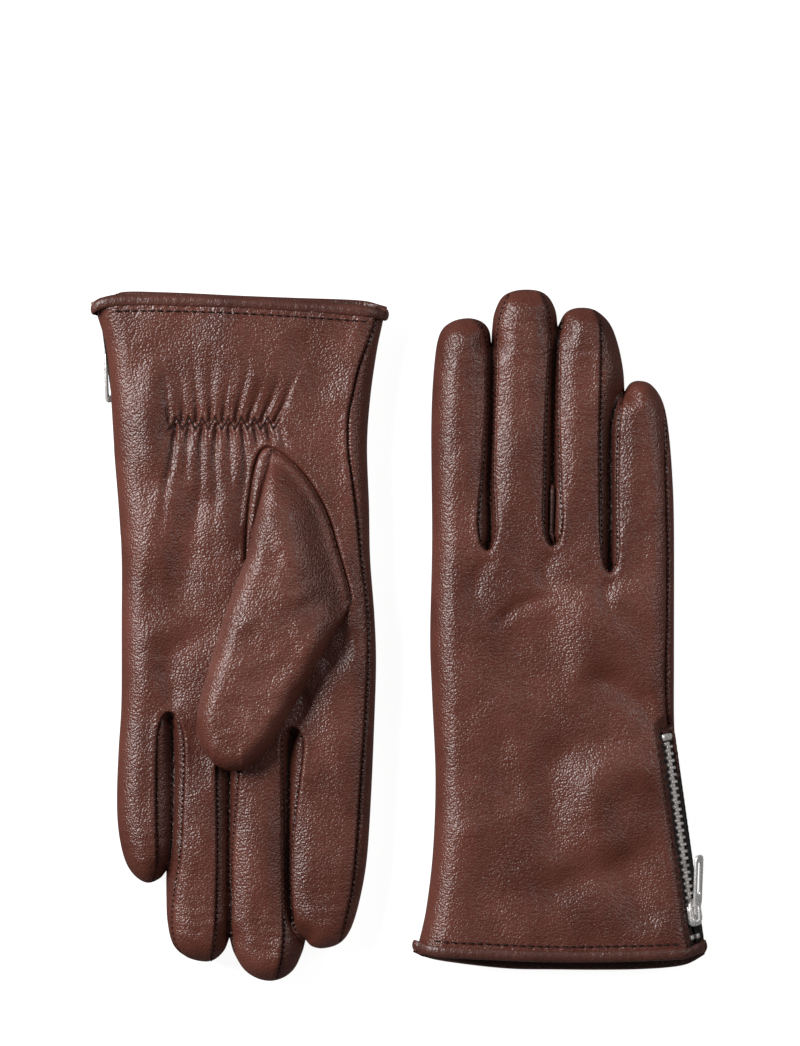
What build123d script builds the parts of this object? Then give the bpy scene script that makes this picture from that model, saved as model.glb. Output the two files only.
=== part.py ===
"""A pair of lined leather dress gloves with a short metal zip at each cuff.

Millimetres. Each glove is drawn in its own hand frame: the cuff edge at y = 0, the fingers along +Y,
the little-finger side at +X, the palm at z = 0 and the back of the hand on top. The right glove lies palm
down. The left glove is the same construction turned through a point, so that it lies palm up with its
fingers the other way. The pair's own frame has +Z up and its origin under the middle of its box.
"""

from build123d import *

import os
from math import atan2, cos, degrees, radians, sin

# Skins, from the outside in
LEATHER = 1.0
LINING = 1.2
LINING_GAP = 0.05  # between the leather and the lining
CUFF_REACH = 20.0  # how far the hand shape runs on past the cuff before it is trimmed
EDGE_ROUND = 6.5  # roundness of the hand's long edges
SLOT = 0.5  # half the gap between two fingers
BIG = 400.0  # larger than a glove, for cutting regions

# Hand widths at the sides, from the cuff upwards
RADIAL_SIDE = [(-51.5, -CUFF_REACH), (-49.6, 4), (-45.3, 36), (-44.5, 72), (-46.3, 115), (-45.6, 165)]
ZIP_TOP_Y = 82.0
ULNAR_CUFF_X = 51.4
ULNAR_ZIP_X = 40.9
FLARE = (ULNAR_CUFF_X - ULNAR_ZIP_X) / ZIP_TOP_Y

# Where things lie along the glove
BINDING_DEPTH = 3.0
BINDING_SKIN = 0.6
FACING_END_Y = 24.0
ELASTIC_Y = 46.5
ELASTIC_SPAN = (-14.0, 25.0)
ELASTIC_WIDTH = 6.0
ELASTIC_THICK = 0.6
DORSAL_SEAM_INSET = 3.5  # little-finger seam, on the back of the hand
PALMAR_SEAM_INSET = 4.2  # index-finger seam, on the palm
FOURCHETTE_SHOW = 3.6  # half the width of the strip that the fourchettes take between two fingers

# Thread
THREAD_R = 0.2
STITCH_LENGTH = 2.2
STITCH_PITCH = 3.0
GROOVE_WIDTH = 0.7
GROOVE_DEPTH = 0.45
CUFF_STITCH_Y = 5.4
CUFF_STITCH_X = -1.5  # middle of the row
CUFF_STITCH_COUNT = 27
ZIGZAG_RISE = 3.6
ZIGZAG_PITCH = 4.6
ZIGZAG_WIDTH = 0.4
ZIP_STITCH_OFFSET = 4.0
ZIP_STITCH_COUNT = 24

# Zip, in its own frame: x along the chain to the cuff, y across it, z out of the leather
ZIP_SLANT = 8.0  # degrees, seen from above
ZIP_TILT = 50.0  # degrees, over the glove's edge
ZIP_INSET = 4.0  # from the glove's edge to the chain, seen from above
ZIP_DROP = 4.4  # from the back of the hand down to the chain
CHAIN_START_Y = 79.0
ZIP_FLAT_START = -5.0  # the leather is flat from here to the cuff
ZIP_WINDOW = 3.2  # half the gap between the leather edges
WINDOW_START = -2.6
LINING_WINDOW = 3.5
TAPE_THICK = 0.5
TAPE_TOP = -1.05
TAPE_BOTTOM = TAPE_TOP - TAPE_THICK
TAPE_MIDDLE = TAPE_TOP - TAPE_THICK / 2
LINING_DEPTH = 0.05 - TAPE_BOTTOM  # the lining runs under the tapes
TAPE_EDGE = 1.1  # clear of the other side's teeth
TAPE_WIDTH = 3.1
TAPE_START = -2.2
TAPE_LENGTH = 80.0
TOOTH_PITCH = 2.5
TOOTH_COUNT = 24
TOOTH_LENGTH = 1.15
TOOTH_THICK = 2.4
TOOTH_REACH = 1.0  # how far a tooth passes the middle of the chain
TOOTH_GRIP = 2.2
STOP_LENGTH = 1.8
STOP_HEIGHT = 2.2
BOTTOM_STOP_X = -2.0
TOP_STOP_X = 69.1
SLIDER_X = 62.0
SLIDER_LENGTH = 8.6
SLIDER_WIDTH = 6.0
SLIDER_PLATE = 0.9
SLIDER_CLEAR = 0.35
FLANGE = 0.5
POST_WIDTH = 0.8
POST_LENGTH = 1.6
BAIL_WIDTH = 1.4
BAIL_LENGTH = 6.4
BAIL_RISE = 2.3
BAIL_BAR = 0.8
BAIL_ROUND = 0.7
PULL_LENGTH = 21.0
PULL_WIDTH = 4.4
PULL_THICK = 1.0
PULL_SLOT = (12.0, 1.9)
PULL_SLOT_X = -12.5
PULL_BAR = 0.5  # half the bar that hangs in the bail
PULL_EYE = (3.7, 2.1)
PIVOT_HEIGHT = 1.9

# Thumb, folded across the palm
THUMB_GAP = 0.3
THUMB_ROUND = 4.0
THUMB_HOLE = (-17.0, 86.0)
THUMB_HOLE_SIZE = (13.0, 28.0)
THUMB_AXIS_FROM = (-17.9, 50.1)
THUMB_AXIS_TO = (-48.0, 102.4)
DENT_CLEAR = 1.6  # room beside a sunk thumb, so that it can swing out

# What differs between the two gloves as they lie. Fingers: left wall, right wall, shoulder height.
# Thumb: its corners from the wrist round by the tip and the crotch, each with the radius that rounds it.
HANDS = {
    "right": {
        "thick": 20.0,
        "seam_height": 11.0,
        "thumb_thick": 9.0,
        "thumb_sunk": True,
        "thumb": [
            ((-9.5, 52.5), 5.0),
            ((17.0, 166.0), 12.0),
            ((-6.5, 166.0), 12.0),
            ((-37.0, 108.5), 5.0),
            ((-31.5, 76.0), 30.0),
        ],
        "pull_lift": 12.0,
        "place": (57.0, -116.6, BINDING_SKIN),
        "fingers": [(-44.8, -24.5, 218.8), (-23.5, -1.3, 228.0), (-0.3, 21.6, 221.4), (22.6, 38.0, 198.4)],
        "crotches": [(-25.9, 148.5), (-2.5, 149.5), (17.8, 140.5)],
        "ulnar": [(40.4, 110), (40.4, 158), (39.2, 180)],
    },
    "left": {
        "thick": 18.0,
        "seam_height": 9.0,
        "thumb_thick": 11.0,
        "thumb_sunk": False,
        "thumb": [
            ((-9.5, 52.5), 5.0),
            ((19.5, 169.7), 13.0),
            ((-7.0, 169.7), 13.0),
            ((-40.5, 108.5), 5.0),
            ((-34.0, 76.0), 30.0),
        ],
        "pull_lift": 0.0,
        "place": (-57.0, 122.2, 18.0 + BINDING_SKIN),
        "fingers": [(-44.4, -23.4, 222.7), (-22.4, 3.2, 232.2), (4.2, 25.6, 226.8), (26.6, 43.4, 201.6)],
        "crotches": [(-20.0, 157.0), (3.4, 160.0), (23.0, 150.5)],
        "ulnar": [(41.4, 110), (42.2, 158), (43.2, 185)],
    },
}
GAP_NAMES = ["index_middle", "middle_ring", "ring_little"]


# ---------------------------------------------------------------- shapes that several pieces share


def hand_outline(hand, inset):
    """Outline of the hand with its four fingers, drawn in by inset."""
    facts = HANDS[hand]
    fingers = [(left + inset, right - inset, shoulder) for left, right, shoulder in facts["fingers"]]
    slot = SLOT + inset
    radial = [(x + inset, y) for x, y in RADIAL_SIDE]
    ulnar = [(x - inset, y) for x, y in facts["ulnar"]]
    zip_corner = (ULNAR_ZIP_X - inset, ZIP_TOP_Y)
    cuff_corner = (ULNAR_CUFF_X + FLARE * CUFF_REACH - inset, -CUFF_REACH)
    with BuildSketch(Plane.XY.offset(inset)) as outline:
        with BuildLine():
            left, _, shoulder = fingers[0]
            Spline([*radial, (left, shoulder)], tangents=[(5, 24), (0, 1)])
            for i, (left, right, shoulder) in enumerate(fingers):
                tip = ((left + right) / 2, shoulder + (right - left) / 2)
                ThreePointArc((left, shoulder), tip, (right, shoulder))
                if i < len(facts["crotches"]):
                    x, y = facts["crotches"][i]
                    next_left, _, next_shoulder = fingers[i + 1]
                    Line((right, shoulder), (x - slot, y))
                    ThreePointArc((x - slot, y), (x, y - slot), (x + slot, y))
                    Line((x + slot, y), (next_left, next_shoulder))
            _, right, shoulder = fingers[-1]
            Spline([(right, shoulder), *reversed(ulnar), zip_corner], tangents=[(0, -1), (FLARE, -1)])
            Line(zip_corner, cuff_corner)
            Line(cuff_corner, radial[0])
        make_face()
    return outline.sketch


def cuff_outline(inset):
    """Outline of the cuff's last stretch only, drawn in by inset."""
    radial = [(x + inset, y) for x, y in RADIAL_SIDE[:3]]
    top_y = radial[-1][1]
    top_x = ULNAR_CUFF_X - FLARE * top_y - inset
    cuff_corner = (ULNAR_CUFF_X + FLARE * CUFF_REACH - inset, -CUFF_REACH)
    with BuildSketch(Plane.XY.offset(inset)) as outline:
        with BuildLine():
            Spline(radial, tangents=[(1.9, 24), (1, 30)])
            Polyline(radial[-1], (top_x, top_y), cuff_corner, radial[0])
        make_face()
    return outline.sketch


def zip_frame(hand):
    """Plane of the zip on the leather: origin at the chain's finger end, x to the cuff."""
    slant, tilt = radians(ZIP_SLANT), radians(ZIP_TILT)
    edge_x = ULNAR_CUFF_X - FLARE * CHAIN_START_Y
    top = (edge_x - ZIP_INSET, CHAIN_START_Y, HANDS[hand]["thick"] - ZIP_DROP)
    along = (sin(slant), -cos(slant), 0)
    out = (cos(slant) * sin(tilt), sin(slant) * sin(tilt), cos(tilt))
    return Plane(origin=top, x_dir=along, z_dir=out)


def zip_box(hand, x, y, z):
    """A box in the zip's frame, from low to high on each axis."""
    with BuildPart(zip_frame(hand)) as box:
        with Locations((x[0], y[0], z[0])):
            Box(x[1] - x[0], y[1] - y[0], z[1] - z[0], align=(Align.MIN,) * 3)
    return box.part


def region(points, low=-BIG, high=BIG):
    """An upright prism over a polygon."""
    with BuildPart() as prism:
        with BuildSketch(Plane.XY.offset(low)):
            with BuildLine():
                Polyline(*points, close=True)
            make_face()
        extrude(amount=high - low)
    return prism.part


def slab(y_low, y_high, z_low=-BIG, z_high=BIG):
    """Everything between two distances from the cuff, and between two heights."""
    return region([(-BIG, y_low), (BIG, y_low), (BIG, y_high), (-BIG, y_high)], z_low, z_high)


def thumb_outline(hand, inset, height):
    """Outline of the folded thumb at a height, drawn in by inset."""
    corners, radii = zip(*HANDS[hand]["thumb"])
    with BuildSketch(Plane.XY.offset(height)) as outline:
        with BuildLine():
            FilletPolyline(*corners, radius=radii, close=True)
        make_face()
        if inset:
            offset(amount=-inset, kind=Kind.ARC)
    return outline.sketch


def thumb_pillow(hand, inset):
    """The thumb as it lies folded, inset by its skins."""
    facts = HANDS[hand]
    low = inset if facts["thumb_sunk"] else -THUMB_GAP - facts["thumb_thick"] + inset
    with BuildPart() as pillow:
        add(thumb_outline(hand, inset, low))
        extrude(amount=facts["thumb_thick"] - 2 * inset)
        fillet(pillow.faces().filter_by(Axis.Z).edges(), THUMB_ROUND - inset)
    return pillow.part


def thumb_dent(hand, inset):
    """The hollow in the palm that a sunk thumb lies in, as each skin inside the palm has it."""
    with BuildPart() as dent:
        add(thumb_outline(hand, -DENT_CLEAR - inset, -CUFF_REACH))
        extrude(amount=HANDS[hand]["thumb_thick"] + THUMB_GAP + inset + CUFF_REACH)
    return dent.part


def thumb_hole(hand):
    """The way from the palm into the thumb, as a prism through both walls."""
    facts = HANDS[hand]
    low = facts["thumb_thick"] / 2 if facts["thumb_sunk"] else -facts["thumb_thick"] / 2
    with BuildPart() as hole:
        with BuildSketch(Plane.XY.offset(low)):
            with Locations(Location(THUMB_HOLE, thumb_axis_angle() - 90)):
                Ellipse(THUMB_HOLE_SIZE[0] / 2, THUMB_HOLE_SIZE[1] / 2)
        extrude(amount=9.5)
    return hole.part


def thumb_axis_angle():
    """Direction of the thumb's fold, in degrees from +X."""
    return degrees(atan2(THUMB_AXIS_TO[1] - THUMB_AXIS_FROM[1], THUMB_AXIS_TO[0] - THUMB_AXIS_FROM[0]))


def puffed(hand, outline, inset, zip_depth=None):
    """An outline raised to the glove's thickness, with round long edges and the zip's flat."""
    thick = HANDS[hand]["thick"]
    depth = inset if zip_depth is None else zip_depth
    with BuildPart() as body:
        add(outline)
        extrude(amount=thick - 2 * inset)
        flat_faces = body.faces().filter_by(Axis.Z)
        long_edges = flat_faces.edges().filter_by(lambda e: e.center().Y > 5 - CUFF_REACH)
        fillet(long_edges, EDGE_ROUND - max(inset, 0))
        add(zip_box(hand, (ZIP_FLAT_START - inset, BIG), (-30, 30), (-depth, 30)), mode=Mode.SUBTRACT)
    return body.part


def hand_solid(hand, inset, zip_depth=None, cuff_y=-BIG):
    """The whole hand inside its skins, dented where the thumb is sunk into the palm."""
    with BuildPart() as body:
        add(puffed(hand, hand_outline(hand, inset), inset, zip_depth))
        if HANDS[hand]["thumb_sunk"]:
            add(thumb_dent(hand, inset), mode=Mode.SUBTRACT)
        if cuff_y > -CUFF_REACH:
            add(slab(-BIG, cuff_y), mode=Mode.SUBTRACT)
    return body.part


# ---------------------------------------------------------------- leather


def ulnar_region(hand):
    """The strip on the little-finger side that the palm's leather wraps over, up to the seam."""
    facts = HANDS[hand]
    frame = zip_frame(hand)
    at_cuff = frame.from_local_coords(Vector(BIG / 2, 0, 0))
    _, right, shoulder = facts["fingers"][-1]
    sides = [(ULNAR_ZIP_X, ZIP_TOP_Y), *facts["ulnar"], (right, shoulder)]
    seam = [(x - DORSAL_SEAM_INSET, y) for x, y in sides]
    tip = (right - 2 * DORSAL_SEAM_INSET, shoulder + 20)
    chain = [(at_cuff.X, at_cuff.Y), (frame.origin.X, frame.origin.Y)]
    return region([*chain, *seam, tip, (BIG, tip[1]), (BIG, at_cuff.Y)])


def radial_region(hand):
    """The strip on the index side that the back's leather wraps under, up to the seam."""
    left, _, shoulder = HANDS[hand]["fingers"][0]
    sides = [*RADIAL_SIDE, (left, shoulder)]
    seam = [(x + PALMAR_SEAM_INSET, y) for x, y in sides]
    tip = (left + 2.5 * PALMAR_SEAM_INSET, shoulder + 25)
    return region([(-BIG, seam[0][1]), *seam, tip, (-BIG, tip[1])], high=HANDS[hand]["seam_height"])


def gap_region(hand, i):
    """The strip round the gap between two fingers that the fourchette fills."""
    facts = HANDS[hand]
    x, y = facts["crotches"][i]
    _, right, low_shoulder = facts["fingers"][i]
    left, _, high_shoulder = facts["fingers"][i + 1]
    top_y = max(low_shoulder, high_shoulder) + 30
    lean = ((right + left) / 2 - x) / (min(low_shoulder, high_shoulder) - y)
    top_x = x + lean * (top_y - y)
    bottom = y - FOURCHETTE_SHOW
    side = FOURCHETTE_SHOW
    return region([(x - side, bottom), (x + side, bottom), (top_x + side, top_y), (top_x - side, top_y)])


def leather_shell(hand):
    """All of the hand's leather in one skin, before it is cut into pieces."""
    thick = HANDS[hand]["thick"]
    groove = GROOVE_WIDTH / 2
    row = CUFF_STITCH_COUNT * STITCH_PITCH / 2 + 1
    with BuildPart() as shell:
        add(hand_solid(hand, 0, cuff_y=0))
        add(hand_solid(hand, LEATHER), mode=Mode.SUBTRACT)
        window = zip_box(hand, (WINDOW_START, BIG), (-ZIP_WINDOW, ZIP_WINDOW), (-LEATHER, 9))
        add(window, mode=Mode.SUBTRACT)
        for z in (GROOVE_DEPTH / 2, thick - GROOVE_DEPTH / 2):
            with Locations((CUFF_STITCH_X, CUFF_STITCH_Y, z)):
                Box(2 * row, GROOVE_WIDTH, GROOVE_DEPTH, mode=Mode.SUBTRACT)
        for y in (-ZIP_STITCH_OFFSET, ZIP_STITCH_OFFSET):
            line = zip_box(hand, (0, BIG), (y - groove, y + groove), (-GROOVE_DEPTH, 9))
            add(line, mode=Mode.SUBTRACT)
        add(zigzag(hand, GROOVE_WIDTH, GROOVE_DEPTH), mode=Mode.SUBTRACT)
    return shell.part


def leather_pieces(hand):
    """The back, the palm and the three fourchettes, cut from one skin along the seams."""
    middle = HANDS[hand]["seam_height"]
    skin = leather_shell(hand)
    gaps = [gap_region(hand, i) for i in range(len(GAP_NAMES))]
    rest = skin
    for gap in gaps:
        rest = rest - gap
    upper, ulnar, radial = slab(-BIG, BIG, z_low=middle), ulnar_region(hand), radial_region(hand)
    palm_zone = (slab(-BIG, BIG, z_high=middle) - radial) + (ulnar & upper)
    with BuildPart() as back:
        add(rest)
        add(palm_zone, mode=Mode.SUBTRACT)
    with BuildPart() as palm:
        add(rest)
        add(palm_zone, mode=Mode.INTERSECT)
        add(thumb_hole(hand), mode=Mode.SUBTRACT)
    pieces = {"back_leather": back.part, "palm_leather": palm.part}
    for name, gap in zip(GAP_NAMES, gaps):
        with BuildPart() as fourchette:
            add(skin)
            add(gap, mode=Mode.INTERSECT)
        pieces["fourchette_" + name] = fourchette.part
    return pieces


def thumb_skin(hand, outer, inner):
    """One skin of the thumb, open where it meets the palm."""
    with BuildPart() as skin:
        add(thumb_pillow(hand, outer))
        add(thumb_pillow(hand, inner), mode=Mode.SUBTRACT)
        add(thumb_hole(hand), mode=Mode.SUBTRACT)
    return skin.part


def binding(hand):
    """The folded strip of leather that closes the cuff's edge, open at the zip."""
    inside = LEATHER + LINING
    under_zip = LINING_DEPTH + LINING
    inner = inside + BINDING_SKIN
    wall = hand_solid(hand, 0, cuff_y=0) - hand_solid(hand, inside, under_zip)
    with BuildPart() as strip:
        add(puffed(hand, cuff_outline(-BINDING_SKIN), -BINDING_SKIN))
        add(puffed(hand, cuff_outline(inner), inner, under_zip + BINDING_SKIN), mode=Mode.SUBTRACT)
        add(slab(-BINDING_SKIN, BINDING_DEPTH), mode=Mode.INTERSECT)
        add(wall, mode=Mode.SUBTRACT)
        add(zip_box(hand, (0, BIG), (-LINING_WINDOW, LINING_WINDOW), (-9, 9)), mode=Mode.SUBTRACT)
    return strip.part


# ---------------------------------------------------------------- lining and elastic


def inner_skin(hand, y_low, y_high):
    """The layer inside the leather between two distances from the cuff."""
    with BuildPart() as skin:
        add(hand_solid(hand, LEATHER + LINING_GAP, zip_depth=LINING_DEPTH))
        add(hand_solid(hand, LEATHER + LINING, zip_depth=LINING_DEPTH + LINING), mode=Mode.SUBTRACT)
        add(slab(y_low, y_high), mode=Mode.INTERSECT)
        window = (-LINING_WINDOW, LINING_WINDOW)
        add(zip_box(hand, (WINDOW_START - 1, BIG), window, (-9, 9)), mode=Mode.SUBTRACT)
        add(elastic(), mode=Mode.SUBTRACT)
        add(thumb_hole(hand), mode=Mode.SUBTRACT)
    return skin.part


def elastic():
    """The elastic tape sewn inside the palm at the wrist."""
    with BuildPart() as tape:
        with BuildSketch(Plane.XY.offset(LEATHER)):
            with Locations((sum(ELASTIC_SPAN) / 2, ELASTIC_Y)):
                Rectangle(ELASTIC_SPAN[1] - ELASTIC_SPAN[0], ELASTIC_WIDTH)
        extrude(amount=ELASTIC_THICK)
    return tape.part


# ---------------------------------------------------------------- thread


def zigzag(hand, width, height):
    """The zigzag sewn across the palm to hold the elastic, sunk into the palm's face."""
    count = round((ELASTIC_SPAN[1] - ELASTIC_SPAN[0] - 2) / (ZIGZAG_PITCH / 2))
    start = ELASTIC_SPAN[0] + 1
    corners = [
        (start + i * ZIGZAG_PITCH / 2, ELASTIC_Y + (ZIGZAG_RISE / 2 if i % 2 else -ZIGZAG_RISE / 2))
        for i in range(count + 1)
    ]
    with BuildPart() as thread:
        with BuildSketch(Plane.XY.offset(GROOVE_DEPTH - height)):
            with BuildLine() as path:
                Polyline(*corners)
            trace(path.line, width)
        extrude(amount=height)
    return thread.part


def cuff_stitches(hand):
    """The row of stitches beside the binding, on the palm and on the back."""
    floor = GROOVE_DEPTH - THREAD_R
    with BuildPart() as stitches:
        for z in (floor, HANDS[hand]["thick"] - floor):
            with Locations((CUFF_STITCH_X, CUFF_STITCH_Y, z)):
                with GridLocations(STITCH_PITCH, 1, CUFF_STITCH_COUNT, 1):
                    Cylinder(THREAD_R, STITCH_LENGTH, rotation=(0, 90, 0))
    return stitches.part


def zip_stitches(hand):
    """The two rows of stitches that hold the leather to the zip's tapes."""
    middle = 2 + ZIP_STITCH_COUNT * STITCH_PITCH / 2
    with BuildPart(zip_frame(hand)) as stitches:
        for y in (-ZIP_STITCH_OFFSET, ZIP_STITCH_OFFSET):
            with Locations((middle, y, THREAD_R - GROOVE_DEPTH)):
                with GridLocations(STITCH_PITCH, 1, ZIP_STITCH_COUNT, 1):
                    Cylinder(THREAD_R, STITCH_LENGTH, rotation=(0, 90, 0))
    return stitches.part


# ---------------------------------------------------------------- zip


def zip_tape(hand, side):
    """One woven tape, from beyond the bottom stop to the cuff."""
    inner, outer = TAPE_EDGE * side, (TAPE_EDGE + TAPE_WIDTH) * side
    with BuildPart() as tape:
        span = (min(inner, outer), max(inner, outer))
        add(zip_box(hand, (TAPE_START, TAPE_START + TAPE_LENGTH + 9), span, (TAPE_BOTTOM, TAPE_TOP)))
        add(slab(-BIG, 0.1), mode=Mode.SUBTRACT)
    return tape.part


def zip_teeth(hand, side):
    """One row of metal teeth, each gripping its tape's edge and reaching past the chain's middle."""
    width = TOOTH_REACH + TOOTH_GRIP
    first = 0 if side < 0 else TOOTH_PITCH / 2
    with BuildPart(zip_frame(hand)) as teeth:
        middle_x = first + (TOOTH_COUNT - 1) * TOOTH_PITCH / 2 + 0.8
        middle_y = side * (TOOTH_GRIP - width / 2)
        with Locations((middle_x, middle_y, TAPE_MIDDLE)):
            with GridLocations(TOOTH_PITCH, 1, TOOTH_COUNT, 1):
                Box(TOOTH_LENGTH, width, TOOTH_THICK)
                with Locations((0, side * (width - TOOTH_GRIP + TAPE_EDGE) / 2 + side * 0.1, 0)):
                    Box(
                        TOOTH_LENGTH + 1,
                        TOOTH_GRIP - TAPE_EDGE + 0.4,
                        TAPE_THICK,
                        mode=Mode.SUBTRACT,
                    )
    return teeth.part


def stop_block(hand, x, y):
    """A metal block clenched over the tapes, STOP_LENGTH long from x, and as wide as y says."""
    z = (TAPE_MIDDLE - STOP_HEIGHT / 2, TAPE_MIDDLE + STOP_HEIGHT / 2)
    with BuildPart() as block:
        add(zip_box(hand, (x, x + STOP_LENGTH), y, z))
        for side in (-1, 1):
            add(zip_tape(hand, side), mode=Mode.SUBTRACT)
    return block.part


def top_stops(hand):
    """The clip on each tape beyond the closed slider."""
    with BuildPart() as stops:
        for side in (-1, 1):
            near, far = side * (TAPE_EDGE - 0.4), side * (TAPE_EDGE + 1.6)
            add(stop_block(hand, TOP_STOP_X, (min(near, far), max(near, far))))
    return stops.part


def slider(hand):
    """The slider's body: two plates round the chain, a post between them and a bail on top."""
    top = TAPE_MIDDLE + TOOTH_THICK / 2 + SLIDER_CLEAR
    bottom = TAPE_MIDDLE - TOOTH_THICK / 2 - SLIDER_CLEAR
    flange_y = SLIDER_WIDTH / 2 - FLANGE / 2
    post_x = SLIDER_X + SLIDER_LENGTH / 2 - POST_LENGTH
    frame = zip_frame(hand)
    with BuildPart(frame) as body:
        for z, reach in ((top, SLIDER_PLATE), (bottom, -SLIDER_PLATE)):
            with Locations((SLIDER_X, 0, z + reach / 2)):
                Box(SLIDER_LENGTH, SLIDER_WIDTH, SLIDER_PLATE)
            gap_low, gap_high = (TAPE_TOP + 0.12, top) if reach > 0 else (bottom, TAPE_BOTTOM - 0.12)
            for side in (-1, 1):
                with Locations((SLIDER_X, side * flange_y, (gap_low + gap_high) / 2)):
                    Box(SLIDER_LENGTH, FLANGE, gap_high - gap_low)
        with Locations((post_x, 0, (top + bottom) / 2)):
            Box(POST_LENGTH, POST_WIDTH, top - bottom)
        with Locations((SLIDER_X, 0, top + SLIDER_PLATE)):
            Box(BAIL_LENGTH, BAIL_WIDTH, BAIL_RISE, align=(Align.CENTER, Align.CENTER, Align.MIN))
        with Locations((SLIDER_X, 0, top + SLIDER_PLATE)):
            Box(
                BAIL_LENGTH - 2 * BAIL_BAR,
                BAIL_WIDTH,
                BAIL_RISE - BAIL_BAR,
                align=(Align.CENTER, Align.CENTER, Align.MIN),
                mode=Mode.SUBTRACT,
            )
        out, across = (Axis(frame.origin, direction) for direction in (frame.z_dir, frame.y_dir))
        fillet(body.faces().sort_by(out)[-1].edges().filter_by(across), BAIL_ROUND)
    return body.part


def pull(hand):
    """The pull tab: a slotted bar whose end hangs in the bail. It lies towards the fingers."""
    eye_length, eye_width = PULL_EYE
    with BuildPart() as tab:
        with BuildSketch():
            with Locations((PULL_BAR - PULL_LENGTH / 2, 0)):
                Rectangle(PULL_LENGTH, PULL_WIDTH)
            fillet(vertices(), 0.9)
            with Locations((PULL_SLOT_X, 0)):
                SlotOverall(PULL_SLOT[0], PULL_SLOT[1], mode=Mode.SUBTRACT)
            with Locations((-PULL_BAR - eye_length / 2, 0)):
                Rectangle(eye_length, eye_width, mode=Mode.SUBTRACT)
        extrude(amount=PULL_THICK / 2, both=True)
    turned = tab.part.rotate(Axis.Y, HANDS[hand]["pull_lift"])
    return zip_frame(hand).location * Location((SLIDER_X, 0, PIVOT_HEIGHT)) * turned


# ---------------------------------------------------------------- the pair


def glove(hand):
    """Every piece of one glove, in its hand frame."""
    return {
        **leather_pieces(hand),
        "thumb_leather": thumb_skin(hand, 0, LEATHER),
        "thumb_lining": thumb_skin(hand, LEATHER, LEATHER + LINING),
        "cuff_binding": binding(hand),
        "cuff_facing": inner_skin(hand, 0, FACING_END_Y),
        "hand_lining": inner_skin(hand, FACING_END_Y, BIG),
        "wrist_elastic": elastic(),
        "elastic_zigzag_thread": zigzag(hand, ZIGZAG_WIDTH, ZIGZAG_WIDTH),
        "cuff_stitches": cuff_stitches(hand),
        "zip_stitches": zip_stitches(hand),
        "zip_tape_inner": zip_tape(hand, -1),
        "zip_tape_outer": zip_tape(hand, 1),
        "zip_teeth_inner": zip_teeth(hand, -1),
        "zip_teeth_outer": zip_teeth(hand, 1),
        "zip_bottom_stop": stop_block(hand, BOTTOM_STOP_X, (-TOOTH_GRIP, TOOTH_GRIP)),
        "zip_top_stops": top_stops(hand),
        "zip_slider": slider(hand),
        "zip_pull": pull(hand),
    }


def placed(shape, hand):
    """A piece moved from its hand frame to where it lies in the pair."""
    if hand == "left":
        for plane in (Plane.XY, Plane.YZ, Plane.XZ):
            shape = shape.mirror(plane)
    return Pos(*HANDS[hand]["place"]) * shape


def main():
    os.makedirs("parts", exist_ok=True)
    for hand in HANDS:
        for name, shape in glove(hand).items():
            with BuildPart() as piece:
                add(placed(shape, hand))
            piece.part.label = hand + "_" + name
            export_step(piece.part, "parts/" + piece.part.label + ".step")


if __name__ == "__main__":
    main()
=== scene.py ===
"""A pair of brown leather gloves: the looks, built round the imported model.

Lengths are millimetres in a glove's own hand frame until an object is made: the cuff at y = 0, the
fingers along +Y, the little finger at +X, the palm's plane at z = 0 and the back of the hand at
z = thick. The right glove stands in the pair's frame as it is. The left glove is turned through a
point, so its palm is on top.
"""

from math import cos, pi, radians, sin

import bmesh
import bpy
import numpy as np
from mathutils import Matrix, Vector, kdtree, noise
from mathutils.geometry import delaunay_2d_cdt


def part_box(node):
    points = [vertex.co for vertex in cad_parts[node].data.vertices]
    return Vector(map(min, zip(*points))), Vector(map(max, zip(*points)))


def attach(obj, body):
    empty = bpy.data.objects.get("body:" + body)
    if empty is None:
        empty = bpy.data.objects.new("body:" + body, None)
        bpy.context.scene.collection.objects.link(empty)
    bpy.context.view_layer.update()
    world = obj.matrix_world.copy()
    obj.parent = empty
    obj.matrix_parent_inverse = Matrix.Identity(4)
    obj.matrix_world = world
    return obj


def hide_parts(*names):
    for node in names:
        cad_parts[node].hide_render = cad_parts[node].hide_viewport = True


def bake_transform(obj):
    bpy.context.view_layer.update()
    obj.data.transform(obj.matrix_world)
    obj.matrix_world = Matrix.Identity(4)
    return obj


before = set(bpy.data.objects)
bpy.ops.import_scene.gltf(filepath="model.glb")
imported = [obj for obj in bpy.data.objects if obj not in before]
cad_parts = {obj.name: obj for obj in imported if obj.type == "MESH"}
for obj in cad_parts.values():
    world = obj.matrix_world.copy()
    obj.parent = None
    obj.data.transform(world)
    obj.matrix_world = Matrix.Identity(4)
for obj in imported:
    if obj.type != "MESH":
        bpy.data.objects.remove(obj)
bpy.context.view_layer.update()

MM = 0.001
EDGE_R = 9.0  # how far in from the outline the leather rounds up to its full height
CROTCH_R = 4.2  # the same at the root of a gap between two fingers
GAP_FLOOR = 0.34  # how full the leather still is at the bottom of a gap
FINE, COARSE = 1.25, 2.4  # mesh spacing on the side that lies on top, and on the side below
INDEX_REACH = 49.85  # how far the back's leather reaches to the index side of the hand frame's middle
STITCH, STITCH_PITCH = 2.2, 3.0  # length and spacing of the topstitching
STITCH_R, SEAM_STITCH_R = 0.31, 0.2  # the thread's radius in a topstitch and in a seam

# ---------------------------------------------------------------- the two gloves, in their hand frames
# Outlines run from the cuff up the index side, over the four tips and down the little-finger side. A gap is
# the line where two fingers touch, from its root to the tips. A fourchette's seam runs from one tip down
# round the gap's root and up to the next tip.

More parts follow.
